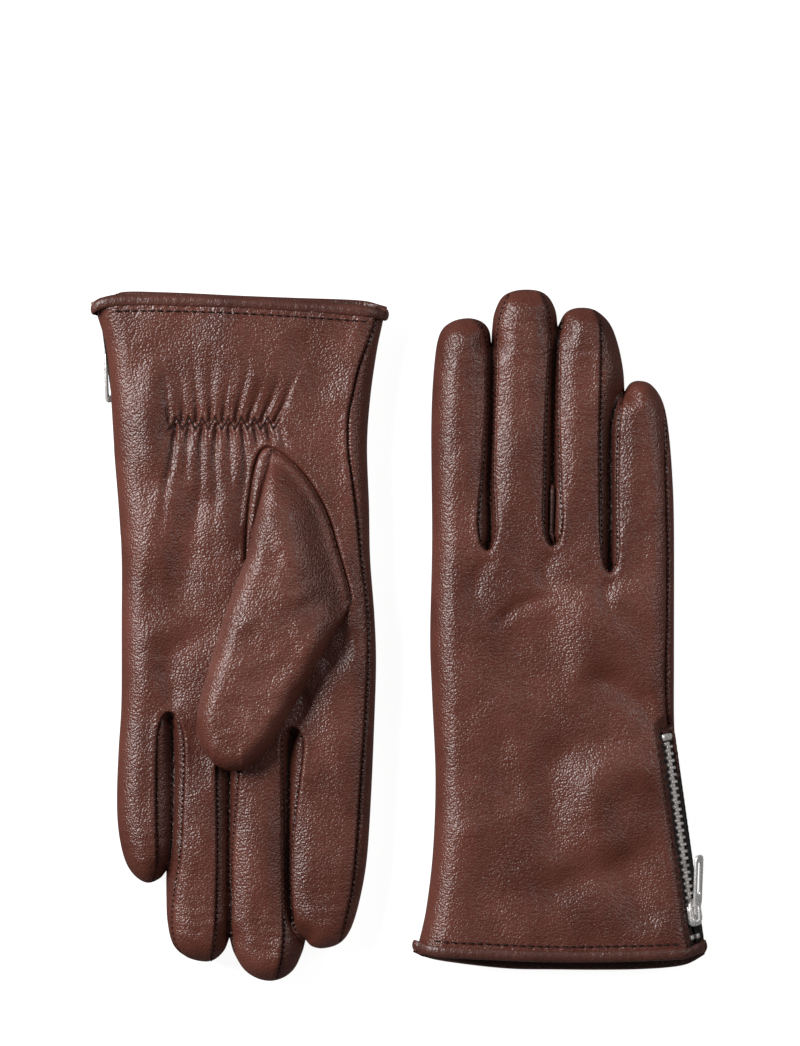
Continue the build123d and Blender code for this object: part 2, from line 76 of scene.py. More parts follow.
RIGHT = {
    "name": "right",
    "thick": 20.0,
    "top": "back",
    "sides": [
        [(-52.0, 1.5), (-50.2, 8), (-47.6, 20), (-45.3, 40), (-44.4, 66), (-45.6, 95), (-46.3, 116),
         (-45.6, 150), (-45.9, 190), (-44.9, 212), (-43.0, 223.5), (-39.0, 228.0), (-33.0, 229.5),
         (-28.0, 228.3), (-25.3, 225.2), (-24.5, 220.5)],
        [(-24.5, 220.5), (-24.2, 226), (-23.4, 231.4), (-20.6, 237), (-15.5, 239.4), (-8.5, 239.4),
         (-4.3, 237.2), (-1.7, 232.3), (-0.9, 226.5)],
        [(-0.9, 226.5), (1.9, 231.4), (6.5, 233.2), (12.5, 232.3), (17.6, 227.6), (20.6, 220), (22.4, 211),
         (22.9, 203.5)],
        [(22.9, 203.5), (25.0, 206.4), (28.3, 207.2), (32.4, 205.8), (36.2, 200.4), (38.3, 191.5),
         (39.8, 175), (40.5, 155), (40.5, 110), (40.6, 84), (42.0, 73), (42.9, 60), (44.2, 48), (45.6, 36),
         (47.4, 24), (49.4, 13), (51.2, 6), (52.0, 1.5)],
    ],
    "cuff": {"back": [(-52.0, 5.6), (-45, 3.9), (-26, 2.9), (-2, 2.0), (22, 2.2), (45, 3.2), (52.0, 4.6)],
             "palm": [(-52.0, 4.4), (-45, 1.2), (-20, -2.0), (0, -2.4), (27, -2.4), (45, -0.8),
                      (52.0, 3.4)]},
    "gaps": [
        [(-26.0, 148.6), (-25.2, 154), (-25.4, 172), (-24.9, 190), (-24.5, 208), (-24.5, 220.5)],
        [(-2.8, 150.2), (-3.3, 155), (-2.9, 172), (-2.7, 196), (-2.3, 214), (-0.9, 226.5)],
        [(17.4, 141.0), (17.2, 146), (17.5, 161), (17.4, 178), (17.9, 192), (20.1, 200.4), (22.9, 203.5)],
    ],
    "fourchettes": [
        [(-31.4, 229.6), (-28.2, 226.6), (-25.9, 219), (-26.0, 207), (-26.5, 190), (-28.0, 170),
         (-29.2, 157), (-28.3, 150.5), (-26.0, 147.4), (-23.9, 150.5), (-23.2, 157), (-23.9, 172),
         (-23.7, 190), (-23.1, 208), (-22.9, 220), (-21.8, 229.4), (-19.4, 236), (-17.2, 240)],
        [(-8.0, 240), (-5.9, 236.4), (-3.8, 229.2), (-3.6, 220), (-4.3, 208), (-5.3, 190), (-5.5, 172),
         (-5.8, 157), (-4.8, 151.3), (-2.8, 148.8), (-0.7, 151.3), (0.2, 157), (-0.5, 172), (-1.0, 190),
         (-1.1, 208), (-1.0, 220), (0.1, 226.5), (1.4, 231.6)],
        [(11.2, 233.4), (13.4, 230), (14.3, 225), (14.2, 214), (14.0, 202), (14.0, 184), (14.3, 161),
         (14.6, 148), (15.5, 142.3), (17.4, 139.6), (19.2, 142.3), (20.0, 148), (19.6, 161), (19.8, 178),
         (20.3, 192), (21.6, 200), (24.4, 206.6)],
    ],
    "side_seam": [(36.6, 201), (37.4, 190), (37.4, 177), (37.8, 160), (38.1, 145), (37.9, 122), (37.6, 104),
                  (38.0, 92), (38.9, 84.5)],
    "thumb_sunk": True,
    "thumb_thick": 9.0,
    "pull_lift": 12.0,
    "zip_out": 1.6,  # how far down the slope it lies on
    "tape": 5.8,
}
LEFT = {
    "name": "left",
    "thick": 18.0,
    "top": "palm",
    "sides": [
        [(-52.4, 4.0), (-50.6, 12), (-48.6, 22), (-46.4, 38), (-45.3, 55), (-46.0, 76), (-46.4, 95),
         (-47.9, 115), (-48.5, 132), (-47.8, 155), (-46.7, 180), (-45.3, 201), (-43.0, 215), (-39.8, 226),
         (-35.8, 231.6), (-30.0, 233.6), (-25.6, 232.9), (-23.4, 230.6)],
        [(-23.4, 230.6), (-22.2, 235), (-19.4, 240.8), (-15.4, 244.1), (-10.5, 245.2), (-5.5, 244),
         (-1.2, 240.8), (2.2, 235), (3.7, 229.8)],
        [(3.7, 229.8), (5.6, 234.4), (9.4, 237.8), (14.0, 238.2), (19.4, 236.4), (23.8, 232.2), (25.8, 224),
         (26.2, 214), (26.2, 206)],
        [(26.2, 206), (28.6, 208.8), (33.0, 210.3), (37.6, 207.6), (41.0, 202), (43.2, 192), (43.8, 180),
         (43.2, 163), (42.2, 146), (42.1, 118), (42.1, 95), (43.0, 78), (44.6, 58), (45.6, 42), (46.4, 30),
         (48.0, 18), (50.6, 9), (52.4, 4.0)],
    ],
    "cuff": {"palm": [(-52.4, 7.6), (-46, 6.0), (-24, 4.4), (0, 3.0), (26, 2.2), (46, 2.4), (52.4, 5.0)],
             "back": [(-52.4, 6.0), (-44, 3.4), (-20, 2.4), (0, 1.6), (26, 0.4), (44, 0.4), (52.4, 4.0)]},
    "gaps": [
        [(-18.9, 157.3), (-17.7, 162), (-17.3, 172), (-17.1, 190), (-17.2, 212), (-18.8, 223),
         (-23.4, 230.6)],
        [(3.2, 160.4), (3.6, 166), (3.8, 178), (3.8, 195), (3.6, 215), (3.7, 229.8)],
        [(24.6, 151.6), (24.0, 157), (23.7, 170), (24.0, 190), (24.8, 201), (26.2, 206)],
    ],
    "fourchettes": [
        [(-24.0, 233.6), (-19.4, 225.5), (-18.3, 214), (-18.4, 200), (-19.6, 186), (-21.7, 171),
         (-22.8, 162), (-21.9, 157.6), (-18.9, 155.0), (-15.9, 157.6), (-15.3, 163), (-15.7, 180),
         (-15.9, 204), (-16.2, 221), (-15.8, 232), (-14.4, 240), (-12.4, 246)],
        [(1.6, 236.6), (3.0, 228), (3.0, 218), (2.7, 204), (1.6, 186), (0.5, 172), (0.2, 163), (1.2, 159.6),
         (3.4, 158.0), (5.8, 159.8), (7.0, 164), (7.7, 172), (7.5, 192), (7.7, 215), (8.4, 230),
         (10.4, 239)],
        [(19.0, 238), (22.4, 232.2), (24.0, 225), (23.4, 215), (21.0, 199), (20.2, 182), (19.7, 162),
         (21.0, 154), (24.7, 149.8), (27.8, 153.6), (28.8, 160), (29.0, 172), (29.0, 188), (28.8, 201),
         (29.6, 207), (32.0, 211.4)],
    ],
    "side_seam": [(-49.3, 7.0), (-47.6, 14), (-43.4, 25), (-40.8, 35), (-38.9, 45), (-38.9, 56),
                  (-40.2, 66), (-42.0, 80), (-43.6, 96), (-45.4, 110), (-46.0, 124), (-45.2, 148),
                  (-43.4, 174), (-42.3, 192), (-40.6, 210), (-38.4, 221.4), (-35.4, 232.4)],
    "thumb_sunk": False,
    "thumb_thick": 11.0,
    "pull_lift": 8.0,
    "zip_out": 0.0,
    "tape": 5.2,
}

# The thumb: its sewn edge from the wrist to the crotch, its free edge round the tip, and the crease beside
# the strip of leather at its wrist end.
THUMB_SEWN = [(-2.6, 94.6), (-3.0, 84), (-4.2, 72), (-6.2, 61), (-9.3, 55.8), (-14.5, 57.6), (-20.5, 62.4),
              (-26.4, 70), (-31.4, 80), (-35.0, 92), (-38.6, 104.5), (-39.6, 109.0)]
THUMB_FREE = [(-39.6, 109.0), (-37.6, 114.6), (-32.6, 123.4), (-25.0, 137.5), (-17.4, 151), (-10.6, 161.6),
              (-4.6, 167.6), (2.2, 169.9), (9.0, 167.0), (13.6, 160.0), (14.9, 152), (13.0, 141.6),
              (8.6, 127), (3.4, 110), (-0.4, 100), (-2.6, 94.6)]
THUMB_CREASE = [(-12.2, 55.6), (-11.0, 60.5), (-8.4, 70.5), (-5.0, 84), (-2.6, 94.6)]

# The zip: its chain's finger end, its slant and its tilt over the glove's edge
ZIP_START = (37.28, 79.0)
ZIP_DROP = 4.4
ZIP_SLANT = radians(8.0)
ZIP_TILT = radians(50.0)
WINDOW_TOP = -3.6
WINDOW_IN, WINDOW_OUT = -4.2, 3.4
ZIP_END = 76.0
TOOTH_PITCH = 2.5
TEETH = 24
SLIDER_U = 61.6

ELASTIC_Y = 47.0
ELASTIC_X = (-14.0, 25.0)
ZIGZAG_PITCH = 4.6


# ---------------------------------------------------------------- numbers and lines


def smooth(t):
    """From 0 to 1 with no slope at either end."""
    t = np.clip(t, 0.0, 1.0)
    return t * t * (3 - 2 * t)


def bell(t):
    """1 at 0, falling away on both sides."""
    return np.exp(-t * t)


def rise(t):
    """A quarter round: steep at 0, level from 1 on."""
    t = np.clip(t, 0.0, 1.0)
    return np.sqrt(1 - (1 - t) ** 2)


def unit(vectors):
    """Vectors of length 1, row by row."""
    return vectors / np.maximum(np.linalg.norm(vectors, axis=1), 1e-9)[:, None]


def distance_along(points):
    """How far along a polyline each of its points is."""
    return np.concatenate([[0], np.cumsum(np.linalg.norm(np.diff(points, axis=0), axis=1))])


def closed(points):
    """A ring of points with its first one again at its end."""
    return np.vstack([points, points[:1]])


def tree_of(points):
    """A search tree over points in plan."""
    tree = kdtree.KDTree(len(points))
    for i, p in enumerate(points):
        tree.insert((p[0], p[1], 0), i)
    tree.balance()
    return tree


def fields(points, scale, seed, octaves=2):
    """Smooth noise at 2-D points, about -1 to 1."""
    shift = Vector((seed * 17.3, seed * 5.1, seed * 2.7))
    out = np.empty(len(points))
    for i, (x, y) in enumerate(points):
        out[i] = noise.fractal(Vector((x / scale, y / scale, 0)) + shift, 1.0, 2.0, octaves)
    return out


def resample(points, step):
    """Points at even steps along a polyline, its ends kept."""
    points = np.asarray(points, float)
    run = distance_along(points)
    count = max(2, int(round(run[-1] / step)) + 1)
    at = np.linspace(0, run[-1], count)
    return np.stack([np.interp(at, run, points[:, i]) for i in range(points.shape[1])], axis=1)


def spline(points, step=1.0):
    """A smooth curve through a few points, as a polyline with even steps."""
    p = np.asarray(points, float)
    if len(p) < 3:
        return resample(p, step)
    ends = np.vstack([2 * p[0] - p[1], p, 2 * p[-1] - p[-2]])
    t = np.linspace(0, 1, 13)[:-1, None]
    parts = [b + 0.5 * t * (c - a + t * (2 * a - 5 * b + 4 * c - d + t * (3 * (b - c) + d - a)))
             for a, b, c, d in zip(ends, ends[1:], ends[2:], ends[3:])]
    return resample(np.vstack([*parts, p[-1:]]), step)


class Line:
    """A polyline that says how far points are from it, on which side and how far along."""

    def __init__(self, points):
        self.p = np.asarray(points, float)
        self.run = distance_along(self.p)
        self.tree = tree_of(self.p)

    def near(self, q):
        """Each point's distance from the line, its side and how far along it is."""
        index = np.array([self.tree.find((x, y, 0))[1] for x, y in q])
        best = np.full(len(q), 1e9)
        side = np.zeros(len(q))
        along = np.zeros(len(q))
        for shift in (-1, 0):
            i = np.clip(index + shift, 0, len(self.p) - 2)
            a, d = self.p[i], self.p[i + 1] - self.p[i]
            length2 = np.maximum((d * d).sum(1), 1e-12)
            t = np.clip(((q - a) * d).sum(1) / length2, 0, 1)
            r = q - a - d * t[:, None]
            dist = np.hypot(r[:, 0], r[:, 1])
            nearer = dist < best
            best = np.where(nearer, dist, best)
            side = np.where(nearer, np.sign(d[:, 0] * r[:, 1] - d[:, 1] * r[:, 0]), side)
            along = np.where(nearer, self.run[i] + t * np.sqrt(length2), along)
        return best, side, along

    def beside(self, offset):
        """The line's points moved sideways, to its left if offset is positive."""
        d = unit(np.gradient(self.p, axis=0))
        return self.p + offset * np.stack([-d[:, 1], d[:, 0]], axis=1)


def inside(q, polygon):
    """Which points lie in a polygon."""
    polygon = np.asarray(polygon, float)
    out = np.zeros(len(q), bool)
    for (ax, ay), (bx, by) in zip(polygon, np.roll(polygon, -1, axis=0)):
        if ay == by:
            continue
        crosses = (ay > q[:, 1]) != (by > q[:, 1])
        out ^= crosses & (q[:, 0] < (bx - ax) * (q[:, 1] - ay) / (by - ay) + ax)
    return out


# ---------------------------------------------------------------- objects


def place(hand, p):
    """Points of a hand frame, in metres in the pair's frame."""
    p = np.asarray(p, float)
    return (hand["sign"] * p + hand["origin"]) * MM


def find_origins():
    """Where the hand frames stand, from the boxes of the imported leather."""
    low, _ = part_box("right_back_leather")
    floor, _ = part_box("right_palm_leather")
    RIGHT["sign"] = 1.0
    RIGHT["origin"] = np.array([low.x / MM + INDEX_REACH, low.y / MM, floor.z / MM])
    _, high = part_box("left_back_leather")
    _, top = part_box("left_palm_leather")
    LEFT["sign"] = -1.0
    LEFT["origin"] = np.array([high.x / MM - INDEX_REACH, high.y / MM, top.z / MM])


def make_object(name, points, faces, material, hand=None, weld=True):
    """A smooth mesh object, from points in metres or in a hand frame."""
    if hand is not None:
        points = place(hand, points)
        if hand["sign"] < 0:
            faces = [tuple(reversed(f)) for f in faces]
    mesh = bpy.data.meshes.new(name)
    mesh.from_pydata([tuple(p) for p in points], [], [tuple(int(i) for i in f) for f in faces])
    if weld:
        bm = bmesh.new()
        bm.from_mesh(mesh)
        bmesh.ops.remove_doubles(bm, verts=bm.verts, dist=2e-6)
        loose = [v for v in bm.verts if not v.link_faces]
        bmesh.ops.delete(bm, geom=loose, context="VERTS")
        bm.to_mesh(mesh)
        bm.free()
    mesh.polygons.foreach_set("use_smooth", [True] * len(mesh.polygons))
    mesh.materials.append(material)
    made = bpy.data.objects.new(name, mesh)
    bpy.context.scene.collection.objects.link(made)
    return made


def turn_under(made, depth):
    """Gives a piece of leather its cut edge: the open borders turn down into the seams."""
    bm = bmesh.new()
    bm.from_mesh(made.data)
    bm.normal_update()
    edges = [e for e in bm.edges if e.is_boundary]
    normals = {v: v.normal.copy() for e in edges for v in e.verts}
    new = bmesh.ops.extrude_edge_only(bm, edges=edges)["geom"]
    for v in (g for g in new if isinstance(g, bmesh.types.BMVert)):
        old = min((e.other_vert(v) for e in v.link_edges if e.other_vert(v) in normals),
                  key=lambda o: (o.co - v.co).length)
        v.co -= normals[old] * depth * MM
    bm.to_mesh(made.data)
    bm.free()
    made.data.polygons.foreach_set("use_smooth", [True] * len(made.data.polygons))


def settle(made, body, slot, *nodes):
    """Every piece rides on a body and may stand for CAD nodes. Its slot is not used."""
    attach(made, body)
    if nodes:
        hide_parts(*nodes)
    return made


def piece(hand, label, shape, materials, kind, stands_for="", body="glove", slot="", weld=True):
    """A piece of a glove, made in its hand frame. It rides on one of the glove's bodies."""
    name = hand["name"] + "_"
    made = make_object(name + label, *shape, materials[kind], hand, weld)
    settle(made, name + body, slot or kind, *([name + stands_for] if stands_for else []))


# ---------------------------------------------------------------- leather sheets


def triangulate(outline, lines, rows, spacing, dense=()):
    """A mesh of a flat region: even inside, with rows of points along its outline and its lines."""
    border = Line(closed(outline))
    everything = [border, *lines]
    points, edges = [], []
    for line in everything:
        start = sum(len(p) for p in points)
        points.append(line.p)
        edges += [(start + i, start + i + 1) for i in range(len(line.p) - 1)]
    extra = []
    for k, line in enumerate(everything):
        for offset in rows["edge"] if k == 0 else rows["line"]:
            for side in (-1, 1):
                row = line.beside(side * offset)
                clear = np.min([other.near(row)[0] for other in everything], axis=0)
                extra.append(row[clear > offset * 0.93])
    low, high = outline.min(0), outline.max(0)
    for step, (x0, y0, x1, y1) in [(spacing, (*low, *high)), *dense]:
        xs, ys = np.meshgrid(np.arange(x0, x1, step), np.arange(y0, y1, step * 0.866))
        xs = xs + (np.arange(xs.shape[0]) % 2)[:, None] * step / 2
        grid = np.stack([xs.ravel(), ys.ravel()], axis=1)
        clear = np.min([line.near(grid)[0] for line in everything], axis=0)
        grid = grid[clear > rows["reach"] + 0.45 * step]
        if step == spacing:
            for _, (a, b, c, d) in dense:
                grid = grid[~((grid[:, 0] > a) & (grid[:, 0] < c) & (grid[:, 1] > b) & (grid[:, 1] < d))]
        extra.append(grid)
    extra = np.vstack(extra)
    extra = extra[inside(extra, outline)]
    cell = rows["apart"]
    seen = {}
    for i, (x, y) in enumerate(extra):
        seen.setdefault((round(x / cell), round(y / cell)), i)
    extra = extra[sorted(seen.values())]
    flat = np.vstack([*points, extra])
    verts, _, faces, *_ = delaunay_2d_cdt([Vector(p) for p in flat], edges, [], 0, 1e-4)
    verts = np.array([tuple(v) for v in verts])
    faces = np.array([f for f in faces if len(f) == 3])
    centres = verts[faces].mean(1)
    return verts, faces[inside(centres, outline)]


FINE_ROWS = {"edge": (0.16, 0.7, 1.6, 2.8, 4.3), "line": (0.35, 0.8, 1.5), "reach": 1.5, "apart": 0.3}
COARSE_ROWS = {"edge": (0.3, 1.6, 4.0), "line": (0.7, 1.8), "reach": 1.8, "apart": 0.6}
INNER_ROWS = {"edge": (1.2, 2.6, 5.0), "line": (1.4, 3.0), "reach": 3.0, "apart": 0.9}


def glove_lines(hand, side):
    """The lines of one side of a glove: its outline, its gaps and its seams."""
    fine = hand["top"] == side
    step = 1.0 if fine else 1.6
    silhouette = np.vstack([spline(part, step)[:-1] for part in hand["sides"]] + [hand["sides"][-1][-1:]])
    cuff = spline(hand["cuff"][side], step)
    keep = silhouette[:, 1] > cuff[0, 1] + 0.4
    silhouette = silhouette[keep]
    outline = np.vstack([silhouette, cuff[::-1]])
    gaps = [Line(spline(g, step)) for g in hand["gaps"]]
    seams = [Line(spline(points, step)) for points in hand["fourchettes"]]
    if fine:
        side_seam = spline(hand["side_seam"], step)
    elif side == "palm":
        side_seam = spline([(x + 3.4, y) for x, y in hand["sides"][0][1:11]] + [(-38.0, 231.0)], step)
    else:
        inward = [(x - 3.4, y) for x, y in hand["sides"][3][4:10]]
        side_seam = spline([(37.8, 208.5), *inward, (39.4, 84.5)], step)
    return Line(silhouette), outline, gaps, seams, Line(side_seam)


def trimmed(line, outline):
    """The stretch of a line that lies inside the outline."""
    return Line(line.p[inside(line.p, outline)])


def zip_axes(hand):
    """The zip's frame on the leather: origin, then the ways along it, across it and out of it."""
    s, t = ZIP_SLANT, ZIP_TILT
    origin = np.array([*ZIP_START, hand["thick"] - ZIP_DROP])
    along = np.array([sin(s), -cos(s), 0.0])
    out = np.array([cos(s) * sin(t), sin(s) * sin(t), cos(t)])
    across = np.cross(out, along)
    return origin + hand["zip_out"] * across, along, across, out


def zip_point(hand, p):
    """Points of the zip's frame, in the hand frame."""
    origin, along, across, out = zip_axes(hand)
    p = np.asarray(p, float)
    return origin + p[..., 0:1] * along + p[..., 1:2] * across + p[..., 2:3] * out


def zip_uv(hand, q):
    """Where the zip's plane is under 2-D points: along, across, and its height there."""
    origin, along, across, out = zip_axes(hand)
    z = origin[2] - ((q[:, 0] - origin[0]) * out[0] + (q[:, 1] - origin[1]) * out[1]) / out[2]
    r = np.stack([q[:, 0] - origin[0], q[:, 1] - origin[1], z - origin[2]], axis=1)
    return r @ along, r @ across, z


def smaller(a, b, k):
    """The smaller of two heights, blended over k."""
    h = np.clip(0.5 + 0.5 * (b - a) / k, 0, 1)
    return b * (1 - h) + a * h - k * h * (1 - h)


def under_zip(hand, q, z, sink, blend):
    """Heights of the back brought down to the zip's slope, or to a layer that lies sink under it."""
    u, v, plane = zip_uv(hand, q)
    plane = plane - sink + 14.0 * smooth((WINDOW_TOP - 1.0 - u) / 12.0) + 9.0 * smooth((-5.5 - v) / 8.0)
    z = np.where(u > -16, smaller(z, plane, blend), z)
    return np.maximum(z, hand["thick"] / 2)


def swell(q, silhouette, gaps, inset=0.0):
    """How full the glove is at each point: 0 on its outline, 1 well inside."""
    full = rise((silhouette.near(q)[0] - inset) / (EDGE_R - inset))
    for gap in gaps:
        dist, _, along = gap.near(q)
        radius = CROTCH_R + (EDGE_R - CROTCH_R) * smooth(along / 26.0)
        full = full * (GAP_FLOOR + (1 - GAP_FLOOR) * rise((dist - inset) / radius))
    return full


def zigzag_line():
    """The zigzag that sews the elastic, from its index end to its little-finger end."""
    corners = []
    x, k = ELASTIC_X[0] - 0.6, 0
    while x < ELASTIC_X[1] + 1.2:
        corners.append((x, ELASTIC_Y + (2.1 if k % 2 else -2.1) + 0.2 * sin(x * 2.1)))
        x += ZIGZAG_PITCH / 2
        k += 1
    return resample(corners, 0.35)


def gathers(hand, q):
    """Pinches that the wrist's elastic draws into the palm, fanning out from its zigzag."""
    x, y = q[:, 0], q[:, 1]
    dy = y - ELASTIC_Y
    middle = sum(ELASTIC_X) / 2
    up = dy < 0
    fan = 1 + np.abs(dy) / np.where(up, 60.0, 90.0)
    lean = np.where(up, -0.22, 0.06) * dy
    xe = middle + (x - middle) / fan + lean * np.exp(-np.abs(dy) / 30)
    across = smooth((xe - ELASTIC_X[0] + 2.5) / 5) * smooth((ELASTIC_X[1] + 2.5 - xe) / 5)
    phase = (xe - ELASTIC_X[0] + 0.6) / ZIGZAG_PITCH + np.where(up, 0.0, 0.5)
    phase = phase + 0.05 * np.sin(dy * 0.25 + x * 0.2)
    fold = np.floor(phase)
    own = 0.5 + 0.5 * np.sin(fold * 2.4 + 0.8)
    reach = np.where(up, 6.0 + 6.0 * own, 10.0 + 17.0 * own)
    width = 0.16 + 0.010 * np.abs(dy)
    off = phase - fold - 0.5
    valley = -bell(off / width) * 1.6 + 0.6 * bell((np.abs(off) - 0.30) / 0.22)
    folds = valley * np.exp(-np.abs(dy) / reach) * smooth(np.abs(dy) / 1.2 + 0.35) * across
    dist, _, _ = Line(zigzag_line()).near(q)
    groove = -0.65 * bell(dist / 0.5) + 0.20 * bell((dist - 1.1) / 0.7)
    sink = -1.3 * bell(dy / 6.5) * across
    sewn, free, _ = thumb_shape(hand)
    under = np.vstack([sewn[:-1], free[:-1]])
    edge, _, _ = Line(closed(under)).near(q)
    calm = np.where(inside(q, under), 0.0, smooth((edge - 0.4) / 4.0))
    return (folds + sink) * calm + groove * calm


def creases(q, folds):
    """Long soft folds: each from one point to another, with its depth and its width."""
    out = np.zeros(len(q))
    for a, b, depth, width in folds:
        a, b = np.array(a, float), np.array(b, float)
        d = b - a
        length = np.hypot(*d)
        t = ((q - a) @ d) / length**2
        across = ((q - a) @ np.array([-d[1], d[0]])) / length
        across = across + 2.0 * np.sin(t * 3.1)
        out += 1.5 * depth * bell(across / width) * smooth((t + 0.25) / 0.4) * smooth((1.25 - t) / 0.4)
    return out


# Folds where the leather has given: from, to, height (negative for a valley) and width
FOLDS = {
    "right": [
        ((36, 84), (14, 102), -1.1, 4.5), ((30, 72), (10, 58), 0.9, 7.0), ((12, 72), (16, 40), 1.1, 8.5),
        ((-4, 74), (-2, 42), -0.9, 6.5), ((-22, 80), (-14, 58), -0.5, 5.0), ((30, 134), (4, 122), 0.9, 9.0),
        ((22, 118), (4, 106), 0.8, 8.0), ((-6, 130), (-22, 121), -0.5, 2.2),
        ((-26, 143), (-31, 130), -0.5, 3.0), ((-2.8, 146), (-5, 134), -0.6, 3.2),
        ((17.5, 136), (17.0, 126), -0.8, 3.0), ((20, 34), (-6, 24), -0.6, 6.0),
        ((-30, 50), (-36, 24), 0.5, 7.0), ((24, 40), (30, 16), -0.7, 6.0),
    ],
    "left": [
        ((31, 28), (30, 62), 1.0, 6.0), ((24, 70), (29, 98), 0.9, 7.0), ((14, 74), (20, 108), -0.7, 5.0),
        ((-22, 14), (-34, 34), -0.7, 7.0), ((6, 12), (-10, 34), 0.6, 9.0), ((-30, 12), (-12, 22), 0.5, 6.0),
        ((10, 120), (26, 132), -0.6, 5.0), ((31, 120), (30, 146), 0.5, 6.0),
        ((24.6, 148), (27, 134), -0.7, 3.0), ((-19, 153), (-22, 142), -0.8, 3.0),
        ((-34, 112), (-27, 124), -1.5, 3.2), ((-30, 132), (-40, 122), -0.8, 4.0),
        ((-33, 140), (-38, 170), 0.4, 5.0), ((-5, 60), (-3, 92), -0.9, 3.0),
    ],
}


def tip_wrinkles(hand, q):
    """Fine cross wrinkles near the fingertips, where the leather is gathered round them."""
    out = np.zeros(len(q))
    for part, strength in zip(hand["sides"], (0.7, 1.0, 0.8, 0.5)):
        tip = max(part, key=lambda p: p[1])
        dx, dy = q[:, 0] - tip[0], tip[1] - q[:, 1]
        wave = np.sin(dy * 1.45 + 0.9 * np.sin(dx * 0.33 + tip[0]) + 0.5 * np.sin(dx * 0.9))
        out += 0.16 * strength * wave * bell((dy - 16) / 9) * bell(dx / 7.5)
    return out


def dent(q, height):
    """The palm of a glove that lies on its thumb is pressed up round it."""
    edge = np.vstack([spline(THUMB_SEWN, 2.0)[:-1], spline(THUMB_FREE, 2.0)[:-1]])
    dist, _, _ = Line(closed(edge)).near(q)
    signed = np.where(inside(q, edge), dist, -dist)
    return height * smooth((signed + 3.2) / 2.6)


def relief(hand, side, q, silhouette, gaps, seams, side_seam):
    """What stands out of the full shape or sinks into it, in millimetres along the surface's normal."""
    fine = hand["top"] == side
    seed = 3 if hand["name"] == "right" else 8
    inner = smooth(silhouette.near(q)[0] / 12.0)
    for gap in gaps:
        inner = inner * (0.25 + 0.75 * smooth(gap.near(q)[0] / 11.0))
    out = (0.9 * fields(q, 30.0, seed) + 0.28 * fields(q, 11.0, seed + 1)) * inner
    if fine:
        out += creases(q, FOLDS[hand["name"]]) * (0.35 + 0.65 * inner) + tip_wrinkles(hand, q)
    for seam in seams:
        dist, sign, along = seam.near(q)
        pucker = 0.10 * np.sin(along * 2 * pi / 2.6) * np.exp(-dist / 1.4)
        strip = np.where(sign > 0, -0.75 * smooth(dist / 0.9), 0.42 * bell((dist - 1.2) / 0.9))
        out += strip + pucker - 1.0 * bell(dist / 0.55)
    dist, sign, along = side_seam.near(q)
    over = -1.0 if side == "palm" else 1.0
    strip = np.where(sign * over > 0, 0.40 * bell((dist - 1.2) / 1.0),
                     -0.15 * smooth(dist) * bell(dist / 6))
    out += strip + 0.10 * np.sin(along * 2 * pi / 2.8) * np.exp(-dist / 1.4) - 1.0 * bell(dist / 0.55)
    cuff = Line(spline(hand["cuff"][side], 1.0))
    dist, _, along = cuff.near(q)
    out += -0.45 * bell((dist - 1.6) / 0.45) - 0.28 * bell((dist - 0.6) / 0.6)
    out += 0.13 * np.sin(along * 2 * pi / 4.3 + np.sin(along * 0.31)) * bell((dist - 3.0) / 2.4)
    if side == "palm":
        out += gathers(hand, q)
    if side == "palm" and not hand["thumb_sunk"]:
        dist, _, along = Line(thumb_shape(hand)[0]).near(q)
        pucker = 0.08 * np.sin(along * 2.4) * np.exp(-dist / 1.5)
        out += 0.5 * bell((dist - 1.5) / 0.9) - 1.0 * bell(dist / 0.7) + pucker
    if side == "back":
        u, v, _ = zip_uv(hand, q)
        edge = np.abs(v - WINDOW_IN + 1.5)
        out += -0.35 * bell(edge / 0.45) * smooth((u - WINDOW_TOP) / 1.5) * smooth((4 - np.abs(v + 4)) / 2)
    return out


def normals_of(points, faces):
    """Vertex normals of a mesh."""
    a, b, c = (points[faces[:, i]] for i in range(3))
    n = np.cross(b - a, c - a)
    out = np.zeros_like(points)
    for i in range(3):
        np.add.at(out, faces[:, i], n)
    return out / np.maximum(np.linalg.norm(out, axis=1), 1e-12)[:, None]


